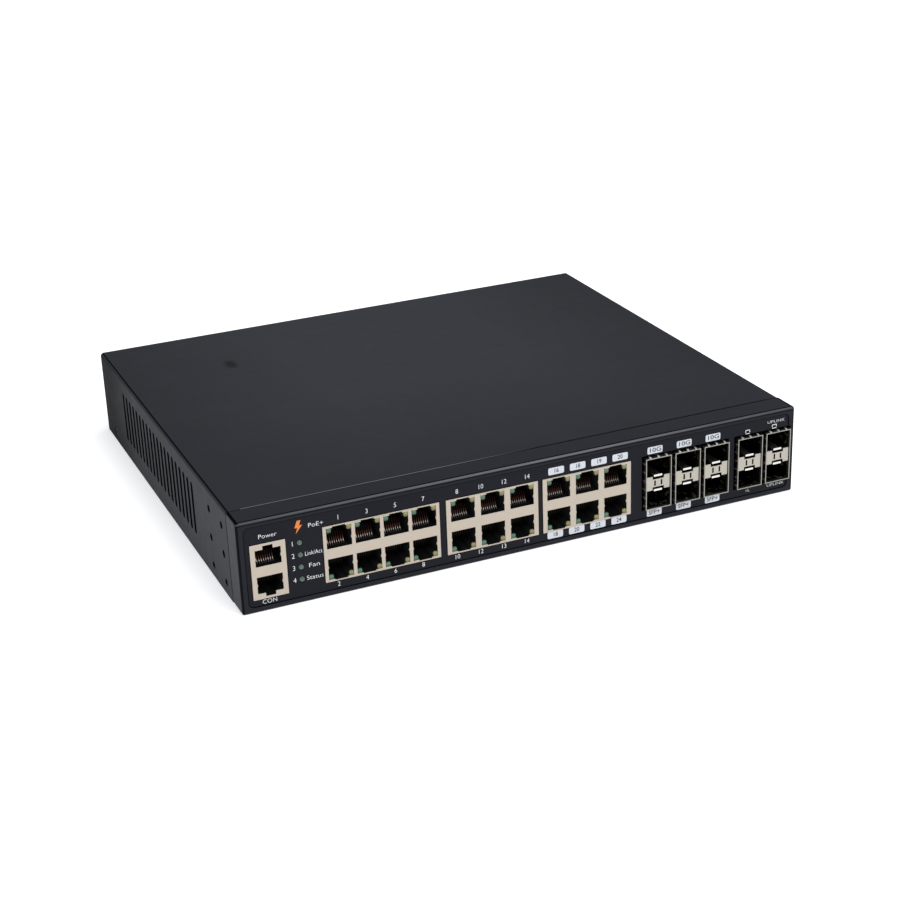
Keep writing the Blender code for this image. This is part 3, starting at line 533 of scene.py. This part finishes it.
def repeated(name, unit, places, finish, count=1, spacing=(0, 0, 0), body="chassis"):
    """A plain mesh of the unit's copies. Each place is (x, y, z, angle about Y)."""
    mesh = bpy.data.meshes.new(name)
    mesh.from_pydata([place[:3] for place in places], [], [])
    turns = mesh.attributes.new("turn", "FLOAT", "POINT")
    for index, place in enumerate(places):
        turns.data[index].value = place[3]
    made = bpy.data.objects.new(name, mesh)
    bpy.context.scene.collection.objects.link(made)
    rows = made.modifiers.new("rows", "NODES")
    rows.node_group = ROWS
    inputs = {"Unit": unit, "Count": count, "Spacing": spacing, "Finish": finish}
    for label, value in inputs.items():
        rows[ROW_SOCKETS[label]] = value
    graph = bpy.context.evaluated_depsgraph_get()
    made.data = bpy.data.meshes.new_from_object(made.evaluated_get(graph))
    made.modifiers.clear()
    bpy.data.objects.remove(unit)
    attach(made, body)
    return made


# ---------------------------------------------------------------------------------------------
# Jack contacts: eight gold-flashed phosphor bronze springs in each port, a knuckle near the mouth
# and a long slope to the rear. In the lower row they hang from the ceiling.


def contact_metal():
    """Painted highlight at the knuckle, copper brown up the slope behind it, and painted shade deep in the
    jack and over the whole lower row.
    """
    metal = Finish("contact_springs", {"Metallic": 1.0})
    slope = metal.ramp(metal.axis("Y"), panel + 2.75 * MM, panel + 3.1 * MM)
    deep = metal.ramp(metal.axis("Y"), panel + 2.98 * MM, panel + 3.7 * MM)
    shelf = metal.ramp(metal.axis("Y"), panel + 2.4 * MM, panel + 2.55 * MM)
    # The lower row hangs in shade, painted near black here.
    lower = metal.axis("Z") < LOWER_ROW
    wear = metal.grain(0.8 * MM)
    bronze = metal.tint(wear, (0.115, 0.05, 0.032), (0.175, 0.085, 0.055))
    painted_light_and_shade = metal.tint(deep, bronze, (0.012, 0.006, 0.005))
    knuckle = metal.tint(shelf, (0.05, 0.04, 0.035), (0.95, 0.9, 0.84))
    seen = metal.tint(slope, knuckle, painted_light_and_shade)
    metal.feed("Base Color", metal.tint(lower, seen, (0.014, 0.011, 0.009)))
    metal.feed("Roughness", wear * 0.2 + 0.25)
    return metal.material


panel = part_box("front_bezel")[0].y
CONTACT_PITCH = 1.03 * MM
CONTACT_WIDTH = 0.3 * MM
CONTACT_OFFSET = -0.9 * MM
LOWER_ROW = 20 * MM
contact_path = [(2.3, 0.5), (2.3, 1.05), (2.55, 1.45), (2.95, 1.6), (3.7, 3.9), (4.7, 6.4), (5.3, 6.9)]
bm = bmesh.new()
add_ribbon(bm, [(y * MM, z * MM) for y, z in contact_path], 0.24 * MM, CONTACT_WIDTH)
contact = solid("contact_spring", bm)
contact_places = []
for jack in COLUMNS:
    for x, z, way in ports(jack):
        contact_places.append((x + CONTACT_OFFSET, panel, z, 0.0 if way > 0 else math.pi))
CONTACT = contact_metal()
repeated("jack_contacts", contact, contact_places, CONTACT, 8, (CONTACT_PITCH, 0, 0))

# ---------------------------------------------------------------------------------------------
# Link lenses: small tinted light guides in the two outer corners of each data port's opening,
# clipped into the insert and level with the shield's face.


def lens_plastic(name, dark, light, lit=None):
    """Tinted light guide. lit gives, from the finish, how much painted light the plastic shows at a point."""
    lens = Finish(name, {"Specular IOR Level": 0.5, "Coat Weight": 0.3, "Coat Roughness": 0.15})
    depth = lens.grain(1.3 * MM, 1.0)
    lens.feed("Base Color", lens.tint(lit(lens) * 0.8 + depth * 0.25 if lit else depth, dark, light))
    lens.feed("Roughness", depth * 0.15 + 0.25)
    return lens.material


LENS_WIDTH = 2.15 * MM
LENS_HEIGHT = 2.25 * MM
shield_low, shield_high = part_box("jack_shield_a")
jack_middle = (shield_low.z + shield_high.z) / 2
LENS_RISE = (shield_high.z - shield_low.z) / 2 - SHIELD_RIM - 0.55 * MM - LENS_HEIGHT / 2


def lens_glow(lens):
    """Painted light: each lens is lighter to its top."""
    height = lens.axis("Z")
    upper = height > jack_middle
    painted_glows = []
    for way in (1, -1):
        middle = jack_middle + way * LENS_RISE
        painted_glows.append(lens.ramp(height, middle - LENS_HEIGHT * 0.45, middle + LENS_HEIGHT * 0.3))
    return painted_glows[0] * upper + painted_glows[1] * (1 - upper)


GREEN_LENS = lens_plastic("green_lens", (0.003, 0.024, 0.011), (0.05, 0.165, 0.085), lens_glow)
YELLOW_LENS = lens_plastic("yellow_lens", (0.05, 0.045, 0.01), (0.235, 0.225, 0.07), lens_glow)
for lens_name, side, lens_finish in (("green_lenses", -1, GREEN_LENS), ("yellow_lenses", 1, YELLOW_LENS)):
    bm = bmesh.new()
    add_box(bm, (-LENS_WIDTH / 2, 0, -LENS_HEIGHT / 2), (LENS_WIDTH / 2, 0.75 * MM, LENS_HEIGHT / 2))
    uprights = [edge for edge in bm.edges if abs(edge.verts[0].co.y - edge.verts[1].co.y) > 1e-6]
    bmesh.ops.bevel(bm, geom=uprights, offset=0.75 * MM, segments=4, affect="EDGES", profile=0.5)
    rim = [edge for edge in bm.edges if all(vert.co.y < 1e-6 for vert in edge.verts)]
    bmesh.ops.bevel(bm, geom=rim, offset=0.3 * MM, segments=2, affect="EDGES", profile=0.6)
    lens_unit = solid("lens_unit", bm)
    lens_places = []
    for jack in ("a", "b", "c"):
        for x, z, way in ports(jack):
            offset = (JACK_WIDTH - LENS_WIDTH) / 2 - 0.05 * MM
            lens_z = jack_middle + way * LENS_RISE
            lens_places.append((x + side * offset, panel + 0.05 * MM, lens_z, 0.0))
    repeated(lens_name, lens_unit, lens_places, lens_finish)

# Corner tabs of the shields: they turn in over each lens, and hold it in the insert

TAB_WIDTH = (JACK_WIDTH - LATCH_SLOT) / 2
TAB_HEIGHT = 0.6 * MM
bm = bmesh.new()
add_box(bm, (-TAB_WIDTH / 2, 0, -TAB_HEIGHT / 2), (TAB_WIDTH / 2, 0.35 * MM, TAB_HEIGHT / 2))
tab_places = []
for jack in ("a", "b", "c"):
    for x, z, way in ports(jack):
        for side in (-1, 1):
            tab_z = jack_middle + way * (LENS_RISE + (LENS_HEIGHT + TAB_HEIGHT) / 2)
            tab_places.append((x + side * (JACK_WIDTH - TAB_WIDTH) / 2, panel + 0.1 * MM, tab_z, 0.0))
repeated("shield_tabs", solid("tab_unit", bm), tab_places, TIN)

# Plug springs: a dimple pressed into each side of an opening, which grips the plug's own shield

PLUG_MIDDLE = 3.9 * MM
bm = bmesh.new()
bmesh.ops.create_icosphere(bm, subdivisions=2, radius=1.0)
bmesh.ops.scale(bm, vec=(0.32 * MM, 0.3 * MM, 0.9 * MM), verts=bm.verts)
spring_places = []
for jack in COLUMNS:
    for x, z, way in ports(jack):
        for side in (-1, 1):
            spring_z = z + way * PLUG_MIDDLE
            spring_places.append((x + side * JACK_WIDTH / 2, panel + 0.4 * MM, spring_z, 0.0))
repeated("plug_springs", solid("spring_unit", bm), spring_places, TIN)

# ---------------------------------------------------------------------------------------------
# Module cages: stamped nickel-plated sheet, bright at the mouth, with painted shade inside. A
# # separator with two spring latches divides each one into an upper and a lower slot.


def cage_sheet():
    """Bright at the mouth, with painted shade inside and a few small painted highlights in it."""
    sheet = Finish("cage_sheet", {"Metallic": 1.0})
    depth = sheet.axis("Y")
    inside = sheet.ramp(depth, panel - 0.5 * MM, panel + 0.9 * MM)
    streak = sheet.grain(0.5 * MM, 3.0, (1, 8, 1))
    bright = sheet.tint(streak, (0.24, 0.23, 0.205), (0.36, 0.35, 0.315))
    painted_glint = sheet.ramp(sheet.grain(1.7 * MM, 1.0, (1, 1.6, 1)), 0.58, 0.68)
    shaded_inside = sheet.tint(painted_glint, (0.008, 0.008, 0.006), (0.24, 0.24, 0.2))
    sheet.feed("Base Color", sheet.tint(inside, bright, shaded_inside))
    sheet.feed("Roughness", streak * 0.15 + inside * 0.25 + 0.25)
    sheet.bump(streak, 0.01 * MM)
    return sheet.material


CAGE = cage_sheet()
LATCH = streaked_metal("latch_spring", (0.62, 0.6, 0.55), (0.8, 0.78, 0.73), 0.35, 0.4 * MM, (1, 9, 1))
SLOT_END = 0.48 * MM
SLOT_RISE = 0.95 * MM
SLOT_APART = 1.75 * MM
SLOT_NECK = math.radians(55)


def light_slot(x, front, z):
    """A cutter for one light slot: two round ends joined by a narrow neck."""
    outline = []
    for way in (1, -1):
        start = way * math.pi / 2 - math.pi + SLOT_NECK
        for step in range(7):
            angle = start + (2 * math.pi - 2 * SLOT_NECK) * step / 6
            outline.append((x + SLOT_END * math.cos(angle), z + way * SLOT_RISE + SLOT_END * math.sin(angle)))
    bm = bmesh.new()
    face = bm.faces.new([bm.verts.new((u, front - MM, v)) for u, v in outline])
    pushed = bmesh.ops.extrude_face_region(bm, geom=[face])
    moved = [part for part in pushed["geom"] if isinstance(part, bmesh.types.BMVert)]
    bmesh.ops.translate(bm, vec=(0, 4 * MM, 0), verts=moved)
    bmesh.ops.recalc_face_normals(bm, faces=bm.faces)
    return solid("light_slot", bm)


def separator_tin():
    """The separator's tinned face, with painted shade on the walls of its light slots."""
    tin = Finish("separator_tin", {"Metallic": 1.0})
    streak = tin.grain(0.5 * MM, 3.0, (9, 1, 1))
    deep = tin.ramp(tin.axis("Y"), separator_front + 0.15 * MM, separator_front + 0.8 * MM)
    face = tin.tint(streak, (0.36, 0.335, 0.29), (0.5, 0.465, 0.405))
    tin.feed("Base Color", tin.tint(deep, face, (0.012, 0.011, 0.009)))
    tin.feed("Roughness", streak * 0.15 + 0.35)
    return tin.material


separator_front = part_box("sfp_separator_1")[0].y
SEPARATOR = separator_tin()
cages = sorted(name for name in nodes if name.startswith("sfp_cage_"))
for cage in cages:
    number = cage[-1]
    refined(f"stamped_cage_{number}", cage, CAGE, edge=0.1 * MM)
    low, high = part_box(f"sfp_separator_{number}")
    middle = (low + high) / 2
    slots = []
    for side in (-1, 1):
        slots.append(light_slot(middle.x + side * SLOT_APART, low.y, middle.z))
    refined(f"separator_moulding_{number}", f"sfp_separator_{number}", SEPARATOR, cutters=slots)
    refined(f"module_socket_{number}", f"sfp_connector_{number}", INSERT, edge=0)
    for row in ("upper", "lower"):
        refined(f"latch_{number}_{row}", f"sfp_latch_{number}_{row}", LATCH, edge=0.06 * MM)

# Grounding fingers: bowed springs cut from the cage's collar, which press on the panel's opening

finger_path = [(-0.9, 0.08), (-0.3, 0.35), (0.9, 0.72), (2.2, 0.85), (3.4, 0.68), (4.6, 0.25)]
FINGER_PITCH = 4.3 * MM
FINGER_WIDTH = 1.0 * MM
# A darker copy of the spring steel for the side fingers, as painted shade in the gap beside each cage.
FINGER = streaked_metal("shaded_finger_steel", (0.2, 0.2, 0.18), (0.3, 0.29, 0.27), 0.35, 0.4 * MM, (1, 9, 1))
top_places, side_places = [], []
for cage in cages:
    low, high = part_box(cage)
    top_places.append(((low.x + high.x) / 2, panel, high.z, 0.0))
    side_places.append((low.x, panel, (low.z + high.z) / 2, -math.pi / 2))
for finger_name, places, count, finger_finish in (
    ("top_fingers", top_places, 3, LATCH),
    ("side_fingers", side_places, 6, FINGER),
):
    bm = bmesh.new()
    add_ribbon(bm, [(y * MM, z * MM) for y, z in finger_path], 0.16 * MM, FINGER_WIDTH)
    repeated(finger_name, solid("finger", bm), places, finger_finish, count, (FINGER_PITCH, 0, 0))

# ---------------------------------------------------------------------------------------------
# Front bezel: a moulded frame with softly rounded front corners, finished to match the case, and a
# thin printed polyester label in its recess.

CORNER = 1.0 * MM
LINE = 0.7 * MM
bezel_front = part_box("front_bezel")[0].y


def corner_light(coat):
    """Painted highlight on the rounded top front corner, brighter than the faces beside it, most at its
    middle.
    """
    edge = coat.band("Y", -FAR, bezel_front + CORNER * 0.8) * coat.band("Z", TOP - CORNER * 0.8, FAR)
    along = coat.axis("X")
    middle = coat.ramp(along, -HALF_WIDTH, 0) - coat.ramp(along, 30 * MM, HALF_WIDTH)
    painted_light_and_shade = middle * 0.6 + coat.grain(25 * MM) * 0.3
    return edge, coat.tint(painted_light_and_shade, (0.043, 0.045, 0.05), (0.135, 0.14, 0.153))


def line_behind_corner(coat):
    """Painted shade: a matt black line across the top face's front end, behind the rounding."""
    start = coat.band("Y", bezel_front + CORNER * 0.8, bezel_front + CORNER + LINE)
    return start * coat.band("Z", TOP - MM, FAR)


def line_below_corner(coat):
    """Painted shade: a darker line across the front face's upper end, under the rounding."""
    below = coat.band("Z", TOP - CORNER - LINE, TOP - CORNER)
    return coat.band("Y", -FAR, bezel_front + SKIN) * below, (0.005, 0.0055, 0.0075)


def recess_wall(coat):
    """Painted shade: the step down to the printed label, drawn matt black."""
    inside = coat.band("X", -FAR, HALF_WIDTH - 1.5 * MM) * coat.band("Z", 1.5 * MM, TOP - 1.5 * MM)
    return inside * coat.band("Y", bezel_front + 0.12 * MM, bezel_front + 2 * MM, 0.05 * MM)


def upright_lines(coat):
    """Painted shade: the two front uprights, mixed most of the way to matt black."""
    upright = coat.band("X", HALF_WIDTH - CORNER, FAR) * coat.band("Y", -FAR, bezel_front + CORNER)
    return upright * coat.band("Z", -FAR, TOP - CORNER) * 0.75


def bezel_side(coat):
    """Painted light: the bezel's two sides, a shade lighter than its face."""
    return coat.band("X", HALF_WIDTH - 0.2 * MM, FAR), (0.027, 0.028, 0.033)


def seam_gap(coat):
    """Painted shade: the bezel's rear edge at its seam with the cover, drawn matt black."""
    return coat.band("Y", cover_front - 0.75 * MM, FAR)


BEZEL = powder_coat(
    "bezel_satin", (0.0125, 0.0135, 0.0175), (0.019, 0.0205, 0.026), 0.5, 0.5 * MM,
    lines=(bezel_side, corner_light, line_below_corner),
    shade_masks=(line_behind_corner, fold_line, upright_lines, seam_gap, recess_wall),
)
refined("bezel_frame", "front_bezel", BEZEL, edge=0.1 * MM, angle=50)


def label_film():
    """Black polyester film with a fine stipple."""
    film = Finish("label_film", {"Specular IOR Level": 0.08})
    cloud = film.grain(30 * MM, 2.0)
    stipple = film.grain(0.35 * MM)
    mottle = cloud * 0.5 + stipple * 0.5
    film.feed("Base Color", film.tint(mottle, (0.0072, 0.0077, 0.011), (0.0118, 0.0124, 0.0168)))
    film.feed("Roughness", stipple * 0.12 + 0.42)
    film.bump(stipple, 0.012 * MM)
    return film.material


refined("printed_label", "label_sheet", label_film(), edge=0.05 * MM)

# Legends: screen-printed words, numbers and tags on the label's face, a few hundredths thick

INK = 0.03 * MM
STROKE_CHANGE = 0.03 * MM
NATURAL_NARROW = 0.92
label_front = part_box("label_sheet")[0].y
words_made, tags_made, tag_words = bmesh.new(), bmesh.new(), bmesh.new()


def print_words(bm, words, x, z, size, lift=0.0, width=None):
    """Words centred on a point of the label's face, as thin solid ink, drawn in to a width. Words that
    are lifted stand on a tag, and have a bolder stroke."""
    curve = bpy.data.curves.new("legend", "FONT")
    curve.body = words
    curve.size = size
    curve.extrude = INK / 2
    curve.offset = STROKE_CHANGE if lift else -STROKE_CHANGE
    curve.resolution_u = 3
    curve.align_x = "CENTER"
    curve.align_y = "CENTER"
    drawn = bpy.data.objects.new("legend", curve)
    bpy.context.scene.collection.objects.link(drawn)
    graph = bpy.context.evaluated_depsgraph_get()
    mesh = bpy.data.meshes.new_from_object(drawn.evaluated_get(graph))
    narrow = width / drawn.dimensions.x if width else NATURAL_NARROW
    bpy.data.objects.remove(drawn)
    upright = Matrix.Rotation(math.pi / 2, 4, "X")
    place = Matrix.Translation((x, label_front - lift - INK / 2, z)) @ upright
    mesh.transform(place @ Matrix.Diagonal((narrow, 1, 1, 1)))
    bm.from_mesh(mesh)


def print_outline(bm, outline, x, z):
    """A flat outline of (x, z) points as thin solid ink."""
    back = [bm.verts.new((x + u, label_front, z + v)) for u, v in outline]
    face = bm.faces.new(back)
    pushed = bmesh.ops.extrude_face_region(bm, geom=[face])
    moved = [part for part in pushed["geom"] if isinstance(part, bmesh.types.BMVert)]
    bmesh.ops.translate(bm, vec=(0, -INK, 0), verts=moved)


def rounded_outline(width, height, radius, steps=5):
    """The (x, z) points of a rectangle with rounded corners."""
    points = []
    for quarter, (sx, sz) in enumerate(((1, 1), (-1, 1), (-1, -1), (1, -1))):
        for step in range(steps + 1):
            angle = math.pi / 2 * (quarter + step / steps)
            centre_x, centre_z = sx * (width / 2 - radius), sz * (height / 2 - radius)
            points.append((centre_x + radius * math.cos(angle), centre_z + radius * math.sin(angle)))
    return points


LETTER = 2.9 * MM
LEFT = -HALF_WIDTH
light_low, light_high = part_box("status_light_pipe")
LIGHT_PITCH = 5.9 * MM
light_middle = (light_low.z + light_high.z) / 2
print_words(words_made, "Power", LEFT + 13.9 * MM, 35.7 * MM, LETTER, width=8.2 * MM)
print_words(words_made, "CON", LEFT + 12.8 * MM, 4.4 * MM, LETTER, width=6.6 * MM)
status_rows = ((1, None, 0), (2, "Link/Act", 8.0), (3, "Fan", 4.9), (4, "Status", 7.7))
for number, word, width in status_rows:
    height = light_middle + (2.5 - number) * LIGHT_PITCH
    print_words(words_made, str(number), LEFT + 24.8 * MM, height, LETTER * 1.15)
    if word:
        print_words(words_made, word, LEFT + 34.2 * MM, height, LETTER, width=width * MM)
print_words(words_made, "PoE+", LEFT + 36.0 * MM, 36.2 * MM, LETTER, width=6.8 * MM)

TAG_WIDTH, TAG_HEIGHT, TAG_RADIUS = 8.0 * MM, 3.5 * MM, 0.7 * MM
TOP_ROW, BOTTOM_ROW = 37.1 * MM, 4.9 * MM
number_rows = (
    (46.4, 13.4, TOP_ROW, (1, 3, 5, 7)),
    (45.0, 13.5, BOTTOM_ROW, (2, 4, 6, 8)),
    (103.0, 11.55, TOP_ROW, (8, 10, 12, 14)),
    (102.1, 11.6, BOTTOM_ROW, (10, 12, 13, 14)),
)
for start, pitch, height, values in number_rows:
    for place, value in enumerate(values):
        print_words(words_made, str(value), LEFT + (start + pitch * place) * MM, height, LETTER * 1.1)
tag_rows = (
    (152.5, 11.0, TOP_ROW, ("16", "18", "19", "20")),
    (151.6, 11.1, BOTTOM_ROW + 0.1 * MM, ("18", "20", "22", "24")),
    (203.9, 15.6, TOP_ROW - 0.2 * MM, ("10G", "10G", "10G")),
    (203.8, 15.8, BOTTOM_ROW, ("SFP+", "SFP+", "SFP+")),
)
for start, pitch, height, values in tag_rows:
    for place, value in enumerate(values):
        x = LEFT + (start + pitch * place) * MM
        print_outline(tags_made, rounded_outline(TAG_WIDTH, TAG_HEIGHT, TAG_RADIUS), x, height)
        print_words(tag_words, value, x, height, LETTER, INK, width=6.0 * MM if len(value) > 2 else None)
small_words = ((254.9, 5.0, "1G", None), (270.6, 5.2, "UPLINK", 9.5), (269.9, 38.3, "UPLINK", 9.5))
for x, z, word, width in small_words:
    print_words(words_made, word, LEFT + x * MM, z * MM, 2.0 * MM, width=width * MM if width else None)

# Socket signs above the last two cages: a small open frame on a foot

SIGN_WIDTH, SIGN_HEIGHT, SIGN_LINE = 2.3 * MM, 1.4 * MM, 0.35 * MM
for x in (254.2, 269.0):
    sign_x, sign_z = LEFT + x * MM, 36.0 * MM
    for u, v, wide, tall in (
        (0, SIGN_HEIGHT / 2, SIGN_WIDTH, SIGN_LINE),
        (-SIGN_WIDTH / 2, 0, SIGN_LINE, SIGN_HEIGHT - SIGN_LINE * 1.2),
        (SIGN_WIDTH / 2, 0, SIGN_LINE, SIGN_HEIGHT - SIGN_LINE * 1.2),
        (0, -SIGN_HEIGHT / 2 - SIGN_LINE, SIGN_WIDTH, SIGN_LINE),
    ):
        print_outline(words_made, rounded_outline(wide, tall, SIGN_LINE * 0.2), sign_x + u, sign_z + v)


def ink(name, dark, light):
    """Screen ink, slightly uneven in shade and gloss."""
    print_ink = Finish(name, {"Specular IOR Level": 0.4})
    mottle = print_ink.grain(0.5 * MM)
    print_ink.feed("Base Color", print_ink.tint(mottle, dark, light))
    print_ink.feed("Roughness", mottle * 0.15 + 0.42)
    return print_ink.material


WHITE_INK = ink("white_ink", (0.66, 0.67, 0.69), (0.8, 0.81, 0.83))
for legend_name, bm, finish in (
    ("printed_words", words_made, WHITE_INK),
    ("printed_tags", tags_made, ink("tag_ink", (0.5, 0.53, 0.57), (0.6, 0.62, 0.66))),
    ("tag_numbers", tag_words, ink("dark_ink", (0.008, 0.011, 0.016), (0.02, 0.025, 0.034))),
):
    bmesh.ops.remove_doubles(bm, verts=bm.verts, dist=1e-7)
    bmesh.ops.recalc_face_normals(bm, faces=bm.faces)
    legend = solid(legend_name, bm, finish)
    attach(legend, "chassis")

# Power sign beside the words: a plain orange lightning bolt

bolt = [(-0.4, 3.0), (1.3, 3.0), (0.45, 0.7), (1.9, 0.7), (-1.3, -3.2), (-0.35, -0.35), (-1.7, -0.35)]
bm = bmesh.new()
print_outline(bm, [(u * MM, v * MM) for u, v in bolt], LEFT + 28.0 * MM, 36.6 * MM)
bmesh.ops.recalc_face_normals(bm, faces=bm.faces)
power_sign = solid("power_sign", bm, ink("orange_ink", (0.62, 0.15, 0.02), (0.75, 0.22, 0.04)))
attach(power_sign, "chassis")

# ---------------------------------------------------------------------------------------------
# Status lights: four domed ends of one clear light pipe, with a milky green tint, standing just
# proud of the label.

PIPE = lens_plastic("status_pipe", (0.03, 0.062, 0.045), (0.075, 0.13, 0.1))
refined("light_pipe", "status_light_pipe", PIPE, edge=0)

# ---------------------------------------------------------------------------------------------
# Rear fans: 40 mm black frames behind the punched grilles, each with a seven-blade rotor, held by
# four black screws through the rear wall.

FAN_PLASTIC = moulding("fan_plastic", (0.008, 0.008, 0.009), (0.015, 0.015, 0.016), 0.42, 0.4 * MM)
for side in ("left", "right"):
    refined(f"fan_housing_{side}", f"fan_frame_{side}", FAN_PLASTIC, edge=0.15 * MM)
    refined(f"fan_blades_{side}", f"fan_rotor_{side}", FAN_PLASTIC, edge=0)

BLACK_OXIDE = streaked_metal("black_oxide_steel", (0.02, 0.02, 0.022), (0.05, 0.05, 0.052), 0.38, 0.3 * MM,
                             (1, 1, 1))
HEAD_RADIUS, HEAD_HEIGHT = 2.7 * MM, 1.5 * MM
FAN_HOLES = 16.0 * MM


def cross_cutters(at, axis, reach, width, depth):
    """Two crossed boxes that sink a cross recess into a face at a point."""
    cutters = []
    for across in ((reach, width / 2), (width / 2, reach)):
        half = Vector((depth, *across)) if axis == "x" else Vector((across[0], depth, across[1]))
        bm = bmesh.new()
        add_box(bm, at - half, at + half)
        cutters.append(solid("cross_cutter", bm))
    return cutters


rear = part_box("base_tray")[1].y
bm = bmesh.new()
turned = Matrix.Translation((0, HEAD_HEIGHT / 2, 0)) @ Matrix.Rotation(math.pi / 2, 4, "X")
bmesh.ops.create_cone(bm, cap_ends=True, segments=28, radius1=HEAD_RADIUS * 0.72, radius2=HEAD_RADIUS,
                      depth=HEAD_HEIGHT, matrix=turned @ Matrix.Rotation(math.pi, 4, "X"))
bmesh.ops.recalc_face_normals(bm, faces=bm.faces)
head = solid("head", bm, edge=0.35 * MM, segments=3)
for cutter in cross_cutters(Vector((0, HEAD_HEIGHT, 0)), "y", 1.4 * MM, 0.45 * MM, 0.8 * MM):
    sunk = head.modifiers.new("recess", "BOOLEAN")
    sunk.object = cutter
fan_screw_places = []
for side in ("left", "right"):
    low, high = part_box(f"fan_frame_{side}")
    for u in (-1, 1):
        for v in (-1, 1):
            x, z = (low.x + high.x) / 2 + u * FAN_HOLES, (low.z + high.z) / 2 + v * FAN_HOLES
            fan_screw_places.append((x, rear - 0.05 * MM, z, 0.3 * u + 0.2 * v))
repeated("fan_screws", head, fan_screw_places, BLACK_OXIDE)
for cutter in [made for made in bpy.data.objects if made.name.startswith("cross_cutter")]:
    bpy.data.objects.remove(cutter)

# ---------------------------------------------------------------------------------------------
# Mains inlet, power switch and earth screw on the rear wall.

INLET_PLASTIC = moulding("inlet_plastic", (0.007, 0.007, 0.008), (0.013, 0.013, 0.014), 0.34, 0.35 * MM)
NICKEL = streaked_metal("nickel_plate", (0.4, 0.375, 0.31), (0.56, 0.53, 0.45), 0.3, 0.3 * MM, (1, 8, 1))
EARTH_STEEL = streaked_metal("earth_screw_steel", (0.24, 0.23, 0.2), (0.36, 0.35, 0.31), 0.35, 0.3 * MM,
                             (8, 1, 1))
refined("inlet_moulding", "ac_inlet", INLET_PLASTIC, edge=0.2 * MM)
for pin in ("line", "neutral", "earth"):
    refined(f"pin_{pin}", f"inlet_pin_{pin}", NICKEL, edge=0.2 * MM)
refined("switch_bezel", "power_switch_body", INLET_PLASTIC, edge=0.2 * MM)
refined("rocker_key", "power_rocker", INLET_PLASTIC, edge=0.2 * MM)
low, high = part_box("ground_screw")
face = Vector(((low.x + high.x) / 2, high.y, (low.z + high.z) / 2))
refined("earth_screw", "ground_screw", EARTH_STEEL, edge=0.2 * MM,
        cutters=cross_cutters(face, "y", 1.7 * MM, 0.5 * MM, 0.9 * MM))

# ---------------------------------------------------------------------------------------------
# Top cover: one sheet folded into the top and both sides, slotted and drilled before coating, and
# held by a flush screw in black lacquer low on each side.

refined("cover_sheet", "top_cover", CASE_COAT, edge=0.15 * MM)
LACQUER = moulding("black_lacquer", (0.004, 0.004, 0.0045), (0.008, 0.008, 0.009), 0.6, 0.3 * MM,
                   constants={"Specular IOR Level": 0.1})
for side, way in (("left", -1), ("right", 1)):
    low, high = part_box(f"cover_screw_{side}")
    middle = (low + high) / 2
    face = Vector((high.x if way > 0 else low.x, middle.y, middle.z))
    cross = cross_cutters(face, "x", 1.5 * MM, 0.45 * MM, 0.9 * MM)
    refined(f"flush_screw_{side}", f"cover_screw_{side}", LACQUER, edge=0.12 * MM, cutters=cross)

# ---------------------------------------------------------------------------------------------
# Stage: a pale floor, soft overhead and side light, and the camera.

bm = bmesh.new()
bmesh.ops.create_grid(bm, x_segments=1, y_segments=1, size=20.0)
floor = solid("floor", bm)
floor.location.z = -0.05 * MM
floor_coat = Finish("pale_floor", {
    "Base Color": (0.94, 0.94, 0.94, 1), "Roughness": 0.9, "Specular IOR Level": 0.0,
    "Emission Color": (1, 1, 1, 1), "Emission Strength": 0.4,
})
floor.data.materials.append(floor_coat.material)


def soft_light(name, place, aim, size, power):
    """A rectangular area light at a place, turned to a point."""
    light = bpy.data.lights.new(name, "AREA")
    light.shape = "RECTANGLE"
    light.size, light.size_y = size
    light.energy = power
    made = bpy.data.objects.new(name, light)
    made.location = place
    made.rotation_euler = (Vector(aim) - Vector(place)).to_track_quat("-Z", "Y").to_euler()
    bpy.context.scene.collection.objects.link(made)


soft_light("overhead_softbox", (0.45, -0.55, 1.9), (0.1, -0.1, 0), (1.8, 1.5), 28)
soft_light("left_softbox", (-1.6, -0.9, 0.9), (0, 0, 0.02), (1.0, 0.9), 8)
soft_light("front_softbox", (0.3, -1.9, 1.1), (0, 0, 0), (1.4, 0.8), 7)

world = bpy.data.worlds.new("studio")
world.use_nodes = True
sky = world.node_tree.nodes["Background"]
sky.inputs["Color"].default_value = (0.9, 0.94, 1.0, 1)
sky.inputs["Strength"].default_value = 0.45
bpy.context.scene.world = world
bpy.context.scene.view_settings.view_transform = "Standard"

CAMERA_AZIMUTH = math.radians(-22.66)
CAMERA_ELEVATION = math.radians(23.26)
CAMERA_ROLL = math.radians(-2.243)
CAMERA_DISTANCE = 0.95
CAMERA_LENS, SENSOR_WIDTH = 73.59, 36.0
CAMERA_AIM = Vector((0.0094, -0.0035, 0.0034))
camera = bpy.data.cameras.new("camera")
camera.sensor_width = SENSOR_WIDTH
camera.lens = CAMERA_LENS
view = bpy.data.objects.new("camera", camera)
towards = Vector((
    -math.sin(CAMERA_AZIMUTH) * math.cos(CAMERA_ELEVATION),
    math.cos(CAMERA_AZIMUTH) * math.cos(CAMERA_ELEVATION),
    -math.sin(CAMERA_ELEVATION),
))
level = Vector((math.cos(CAMERA_AZIMUTH), math.sin(CAMERA_AZIMUTH), 0))
upright = level.cross(towards)
right = level * math.cos(CAMERA_ROLL) + upright * math.sin(CAMERA_ROLL)
above = right.cross(towards)
pose = Matrix((right, above, -towards)).transposed().to_4x4()
pose.translation = CAMERA_AIM - towards * CAMERA_DISTANCE
view.matrix_world = pose
bpy.context.scene.collection.objects.link(view)
bpy.context.scene.camera = view

bpy.context.view_layer.update()
